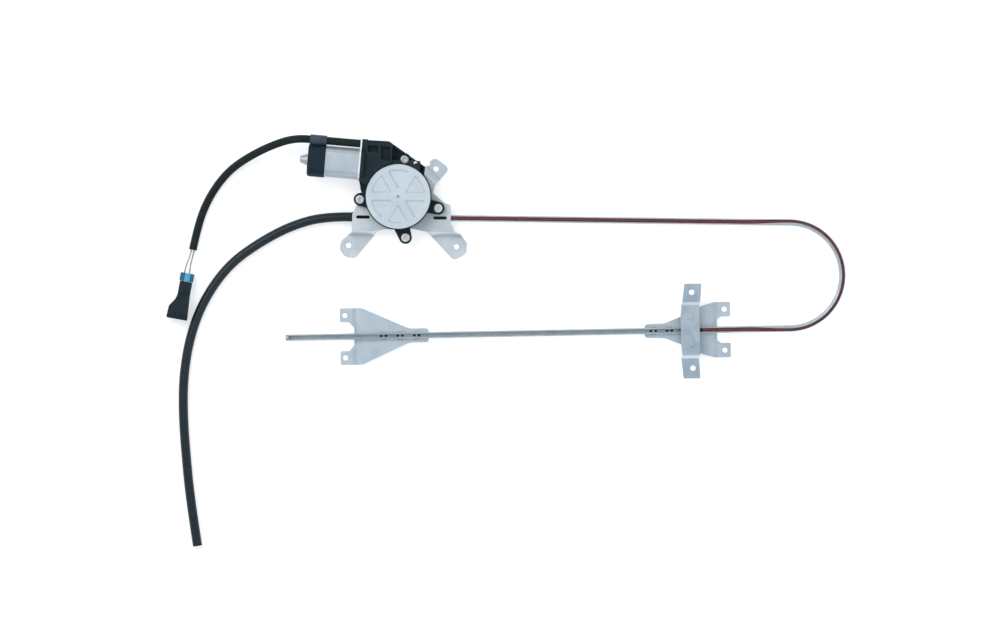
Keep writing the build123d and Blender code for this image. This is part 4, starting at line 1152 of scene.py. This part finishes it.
@dataclass
class LiftCarriage:
    """Cross plate on its sliding shoe."""

    middle: tuple[float, float] = (0.426, -0.114)
    step_y: float = 31.8 * MM
    body_shift: float = -0.8 * MM
    low_tab_shift: float = -2.6 * MM
    high_tab_cut: float = 2.1 * MM
    hole_clear: float = 5.0 * MM
    tab_hole_y: float = 47.35 * MM
    tab_hole_x: float = 1.4 * MM
    shoe_half: float = 9.5 * MM
    shoe_flange_half: float = 11.0 * MM
    step_tilt: tuple[float, float] = (0.3, 0.93)  # Z of the normal on the two steps' faces
    past_step: float = 1.0 * MM

    def build(self) -> None:
        """Dress the carriage, with a painted highlight on the plate's two sloped steps."""
        plate = softened("lift_bracket", "lift plate zinc", Body.LIFT, 0.4,
                         reshape=self.set_outline)
        low, high = self.step_tilt
        # the steps' sloped faces take the near-white zinc as a painted highlight
        two_tone(plate, "zinc with painted highlight",
                 lambda _, normal: low < normal.z < high and abs(normal.y) > low)
        softened("slider", "glass-filled nylon", Body.LIFT, 0.3, reshape=self.shorten_shoe)
        softened("lift_rivets", "lift plate zinc", Body.LIFT, 0.5, segments=3)

    def set_outline(self, shape: Shape) -> None:
        """Move the plate's edges, with the holes left at their places."""
        for vert in shape.verts:
            x, y = vert.co.x - self.middle[0], vert.co.y - self.middle[1]
            reach = math.hypot(x - self.tab_hole_x, abs(y) - self.tab_hole_y)
            if reach < self.hole_clear or abs(x) < self.hole_clear:
                continue
            if y < -self.step_y - self.past_step:
                vert.co.x += self.low_tab_shift
            elif y < self.step_y + self.past_step:
                vert.co.x += self.body_shift
            elif y > self.tab_hole_y + self.hole_clear:
                vert.co.y -= self.high_tab_cut

    def shorten_shoe(self, shape: Shape) -> None:
        """Bring the shoe's two ends in under the plate."""
        for vert in shape.verts:
            x = vert.co.x - self.middle[0]
            if abs(x) > self.shoe_flange_half:
                vert.co.x = self.middle[0] + math.copysign(self.shoe_half, x)


@dataclass
class MotorMount:
    """Three-legged bracket and the guide housing behind it.

    The two lower legs step down to the door just below the plate and end in rounded feet.
    """

    cut_y: float = -43.7 * MM
    legs_beyond: tuple[float, float] = (-20.0 * MM, 27.0 * MM)
    sheet: float = 2.0 * MM
    plate_floor: float = 13.85 * MM
    step_start: float = 16.4 * MM
    step_run: float = 4.2 * MM
    step_cuts: int = 6
    hole_radius: float = 3.3  # in millimetres, as the two outlines are
    left_foot: tuple[float, float] = (-61.6 * MM, -61.6 * MM)
    right_foot: tuple[float, float] = (73.3 * MM, -61.6 * MM)
    left_outline: tuple[Point, ...] = (
        (3.85, 17.9, 0), (3.7, 16.4, 0), (-9.4, 5.8, 5), (-11.2, -5.0, 5), (-4.6, -14.0, 5),
        (8.6, -16.4, 5), (31.0, 16.0, 0), (36.1, 17.9, 0))
    right_outline: tuple[Point, ...] = (
        (-2.5, 17.9, 0), (4.4, 16.4, 4), (13.2, 5.0, 6), (12.4, -8.8, 6), (-3.2, -17.2, 5),
        (-30.5, 16.3, 0), (-36.8, 17.9, 0))

    def build(self) -> None:
        """Make the bracket and dress what hangs behind it."""
        softened("motor_bracket", "motor plate zinc", Body.CHASSIS, 0.4, reshape=self.cut_legs)
        self.make_leg("leg_left", self.left_foot, self.left_outline)
        self.make_leg("leg_right", self.right_foot, self.right_outline)
        softened("guide_housing", "glass-filled nylon", Body.CHASSIS, 0.3)
        softened("rear_cover", "motor plate zinc", Body.CHASSIS, 0.25)
        softened("rear_cover_screws", "bright screw", Body.CHASSIS, 0.25)

    def cut_legs(self, shape: Shape) -> None:
        """Cut the two lower legs off the plate and close the cuts."""
        cut_through(shape, PATH.drive @ Vector((0.0, self.cut_y, 0.0)),
                    PATH.drive.to_3x3() @ Vector((0.0, -1.0, 0.0)))
        back = PATH.drive.inverted()
        legs = []
        for face in shape.faces:
            middle = back @ face.calc_center_median()
            beyond = middle.x < self.legs_beyond[0] or middle.x > self.legs_beyond[1]
            if middle.y < self.cut_y and beyond:
                legs.append(face)
        bmesh.ops.delete(shape, geom=legs, context="FACES")
        open_edges = [edge for edge in shape.edges if edge.is_boundary]
        bmesh.ops.holes_fill(shape, edges=open_edges, sides=0)

    def height_at(self, y: float) -> float:
        """Height of a leg's underside at a place along Y from its hole."""
        share = min(max((y - self.step_start + self.step_run) / self.step_run, 0.0), 1.0)
        return self.plate_floor * (1 - math.cos(math.pi * share)) / 2

    def make_leg(self, name: str, foot: tuple[float, float], outline: Sequence[Point]) -> None:
        """Press one leg from flat sheet.

        Args:
            name: End of the piece's name.
            foot: Centre of its hole, from the drive's axis.
            outline: Its corners from the hole.
        """
        shape = flat_sheet(outline, self.hole_radius)
        for index in range(self.step_cuts + 1):
            place = self.step_start - self.step_run * index / self.step_cuts
            cut_through(shape, (0.0, place, 0.0), (0.0, 1.0, 0.0))
        for vert in shape.verts:
            vert.co.z = self.height_at(vert.co.y)
        made = bmesh.ops.extrude_face_region(shape, geom=shape.faces[:])["geom"]
        bmesh.ops.translate(shape, verts=verts_in(made), vec=(0.0, 0.0, self.sheet))
        bmesh.ops.recalc_face_normals(shape, faces=shape.faces)
        bmesh.ops.transform(shape, matrix=PATH.drive @ Matrix.Translation((*foot, 0.0)),
                            verts=shape.verts)
        new_piece(f"motor_bracket_{name}", shape, "motor plate zinc", Body.CHASSIS, Shade.SHEET)


@dataclass
class GearDrive:
    """Gearbox with its pressed cover and screws, and the gears inside."""

    rim_from: float = 35.0 * MM
    hub_radius: float = 4.0 * MM
    sector_count: int = 6
    cover_top: float = 40.05 * MM
    sector_floor: float = 39.25 * MM
    sector_grown: float = 1.14
    floor_shrunk: float = 0.97
    floor_lowered: float = 0.5 * MM
    rim_grown: float = 0.4 * MM
    near: float = 0.3 * MM

    def build(self) -> None:
        """Dress the gearbox and the gears."""
        softened("gearbox", "glass-filled nylon", Body.CHASSIS, 0.3, angle=42.0)
        softened("gearbox_cover", "pressed cover zinc", Body.CHASSIS, 0.4, segments=3,
                 reshape=self.press_sectors)
        softened("gearbox_screws", "bright screw", Body.CHASSIS, 0.3)
        for node, finish in (("axle_pin", "ground steel"), ("drive_sprocket", "ground steel"),
                             ("drive_coupler", "ground steel"), ("coupler_damper", "sleeve rubber"),
                             ("worm_wheel", "acetal"), ("output_bush", "sintered bronze")):
            dress_node(node, finish)

    def press_sectors(self, shape: Shape) -> None:
        """Give the six sunk sectors sloped walls, and the rim its full width."""
        back = PATH.drive.inverted()
        drive = back.inverted()
        between = 360 / self.sector_count
        sectors: dict[int, list[tuple[bmesh.types.BMVert, bool]]] = {}
        for vert in shape.verts:
            local = back @ vert.co
            radius = math.hypot(local.x, local.y)
            on_floor = abs(local.z - self.sector_floor) < self.near / 2
            on_top = abs(local.z - self.cover_top) < self.near / 2
            if radius > self.rim_from:
                flat = Vector((local.x, local.y, 0.0)) * ((radius + self.rim_grown) / radius)
                vert.co = drive @ Vector((flat.x, flat.y, local.z))
            elif radius > self.hub_radius and (on_floor or on_top):
                turn = math.degrees(math.atan2(local.y, local.x)) - 90
                index = round(turn / between) % self.sector_count
                sectors.setdefault(index, []).append((vert, on_floor))
        for found in sectors.values():
            flat = [vert.co for vert, on_floor in found if not on_floor]
            centre = sum(flat, Vector()) / len(flat)
            for vert, on_floor in found:
                scale = self.floor_shrunk if on_floor else self.sector_grown
                vert.co.x = centre.x + (vert.co.x - centre.x) * scale
                vert.co.y = centre.y + (vert.co.y - centre.y) * scale
                if on_floor:
                    vert.co.z -= self.floor_lowered


@dataclass
class DriveMotor:
    """Drawn can with its sleeve and clip, and the armature inside."""

    place: Point = (0.0672884, 0.0956364, 0.03105)
    turn_deg: float = -6.0
    can_start: float = -115.5 * MM
    boss_length: float = 10.5 * MM
    boss_tip: float = 0.68
    flange: tuple[float, float] = (-52.2 * MM, -50.2 * MM)
    ear_side: tuple[float, float] = (16.0 * MM, 31.2 * MM)
    ear_rise: tuple[float, float] = (-2.0 * MM, 14.0 * MM)
    ear_corner: float = 2.5 * MM
    flange_play: float = 0.2 * MM

    @property
    def motor(self) -> Matrix:
        """Frame of the motor, whose X is its shaft's axis."""
        return (Matrix.Translation(self.place)
                @ Matrix.Rotation(math.radians(self.turn_deg), 4, "Z"))

    def build(self) -> None:
        """Dress the motor."""
        back = self.motor.inverted()
        can = softened("motor_can", "drawn can zinc", Body.CHASSIS, 0.4, segments=3,
                       reshape=self.taper_boss)
        # the flange's faces take the near-white zinc as a painted highlight
        two_tone(can, "zinc with painted highlight",
                 lambda middle, _: (back @ middle).x > self.flange[0] - self.flange_play)
        self.make_ear()
        softened("end_sleeve", "sleeve rubber", Body.CHASSIS, 0.4)
        softened("lead_clip", "clip nylon", Body.CHASSIS, 0.4)
        softened("lead_gland", "glass-filled nylon", Body.CHASSIS, 0.4)
        for node, finish in (("motor_magnets", "ferrite"), ("armature_shaft", "ground steel"),
                             ("armature_core", "ground steel"), ("armature_windings", "copper"),
                             ("commutator", "copper"), ("worm", "ground steel"),
                             ("armature_bushes", "sintered bronze"),
                             ("brush_card", "glass-filled nylon"), ("brushes", "ferrite")):
            dress_node(node, finish)

    def taper_boss(self, shape: Shape) -> None:
        """Narrow the bearing boss towards its tip."""
        motor, back = self.motor, self.motor.inverted()
        for vert in shape.verts:
            local = back @ vert.co
            share = min(max((self.can_start - local.x) / self.boss_length, 0.0), 1.0)
            narrow = 1.0 + (self.boss_tip - 1.0) * share
            vert.co = motor @ Vector((local.x, local.y * narrow, local.z * narrow))

    def make_ear(self) -> None:
        """Make the flange's ear, which the lead passes through."""
        lows = (self.flange[0], self.ear_side[0], self.ear_rise[0])
        highs = (self.flange[1], self.ear_side[1], self.ear_rise[1])
        middle = Vector([(low + high) / 2 for low, high in zip(lows, highs)])
        size = [high - low for low, high in zip(lows, highs)]
        shape = bmesh.new()
        bmesh.ops.create_cube(shape, size=1.0)
        bmesh.ops.scale(shape, vec=size, verts=shape.verts)
        corners = [edge for edge in shape.edges
                   if abs(edge.verts[0].co.x - edge.verts[1].co.x) > size[0] / 2]
        round_off(shape, corners, self.ear_corner, segments=5)
        bmesh.ops.transform(shape, matrix=self.motor @ Matrix.Translation(middle),
                            verts=shape.verts)
        # the ear takes the near-white zinc as a painted highlight
        new_piece("motor_flange_ear", shape, "zinc with painted highlight", Body.CHASSIS, Shade.SHEET)


def main() -> None:
    """Build the scene."""
    logging.basicConfig(level=logging.INFO, format="%(name)s: %(message)s")
    bpy.context.scene.view_settings.view_transform = "Standard"
    for part in (Studio(), RunOutHose(), MotorLead(), ToothedCable(), GuideRail(), LiftCarriage(),
                 MotorMount(), GearDrive(), DriveMotor()):
        part.build()
        LOG.info("%s done", type(part).__name__)


if __name__ == "__main__":
    main()
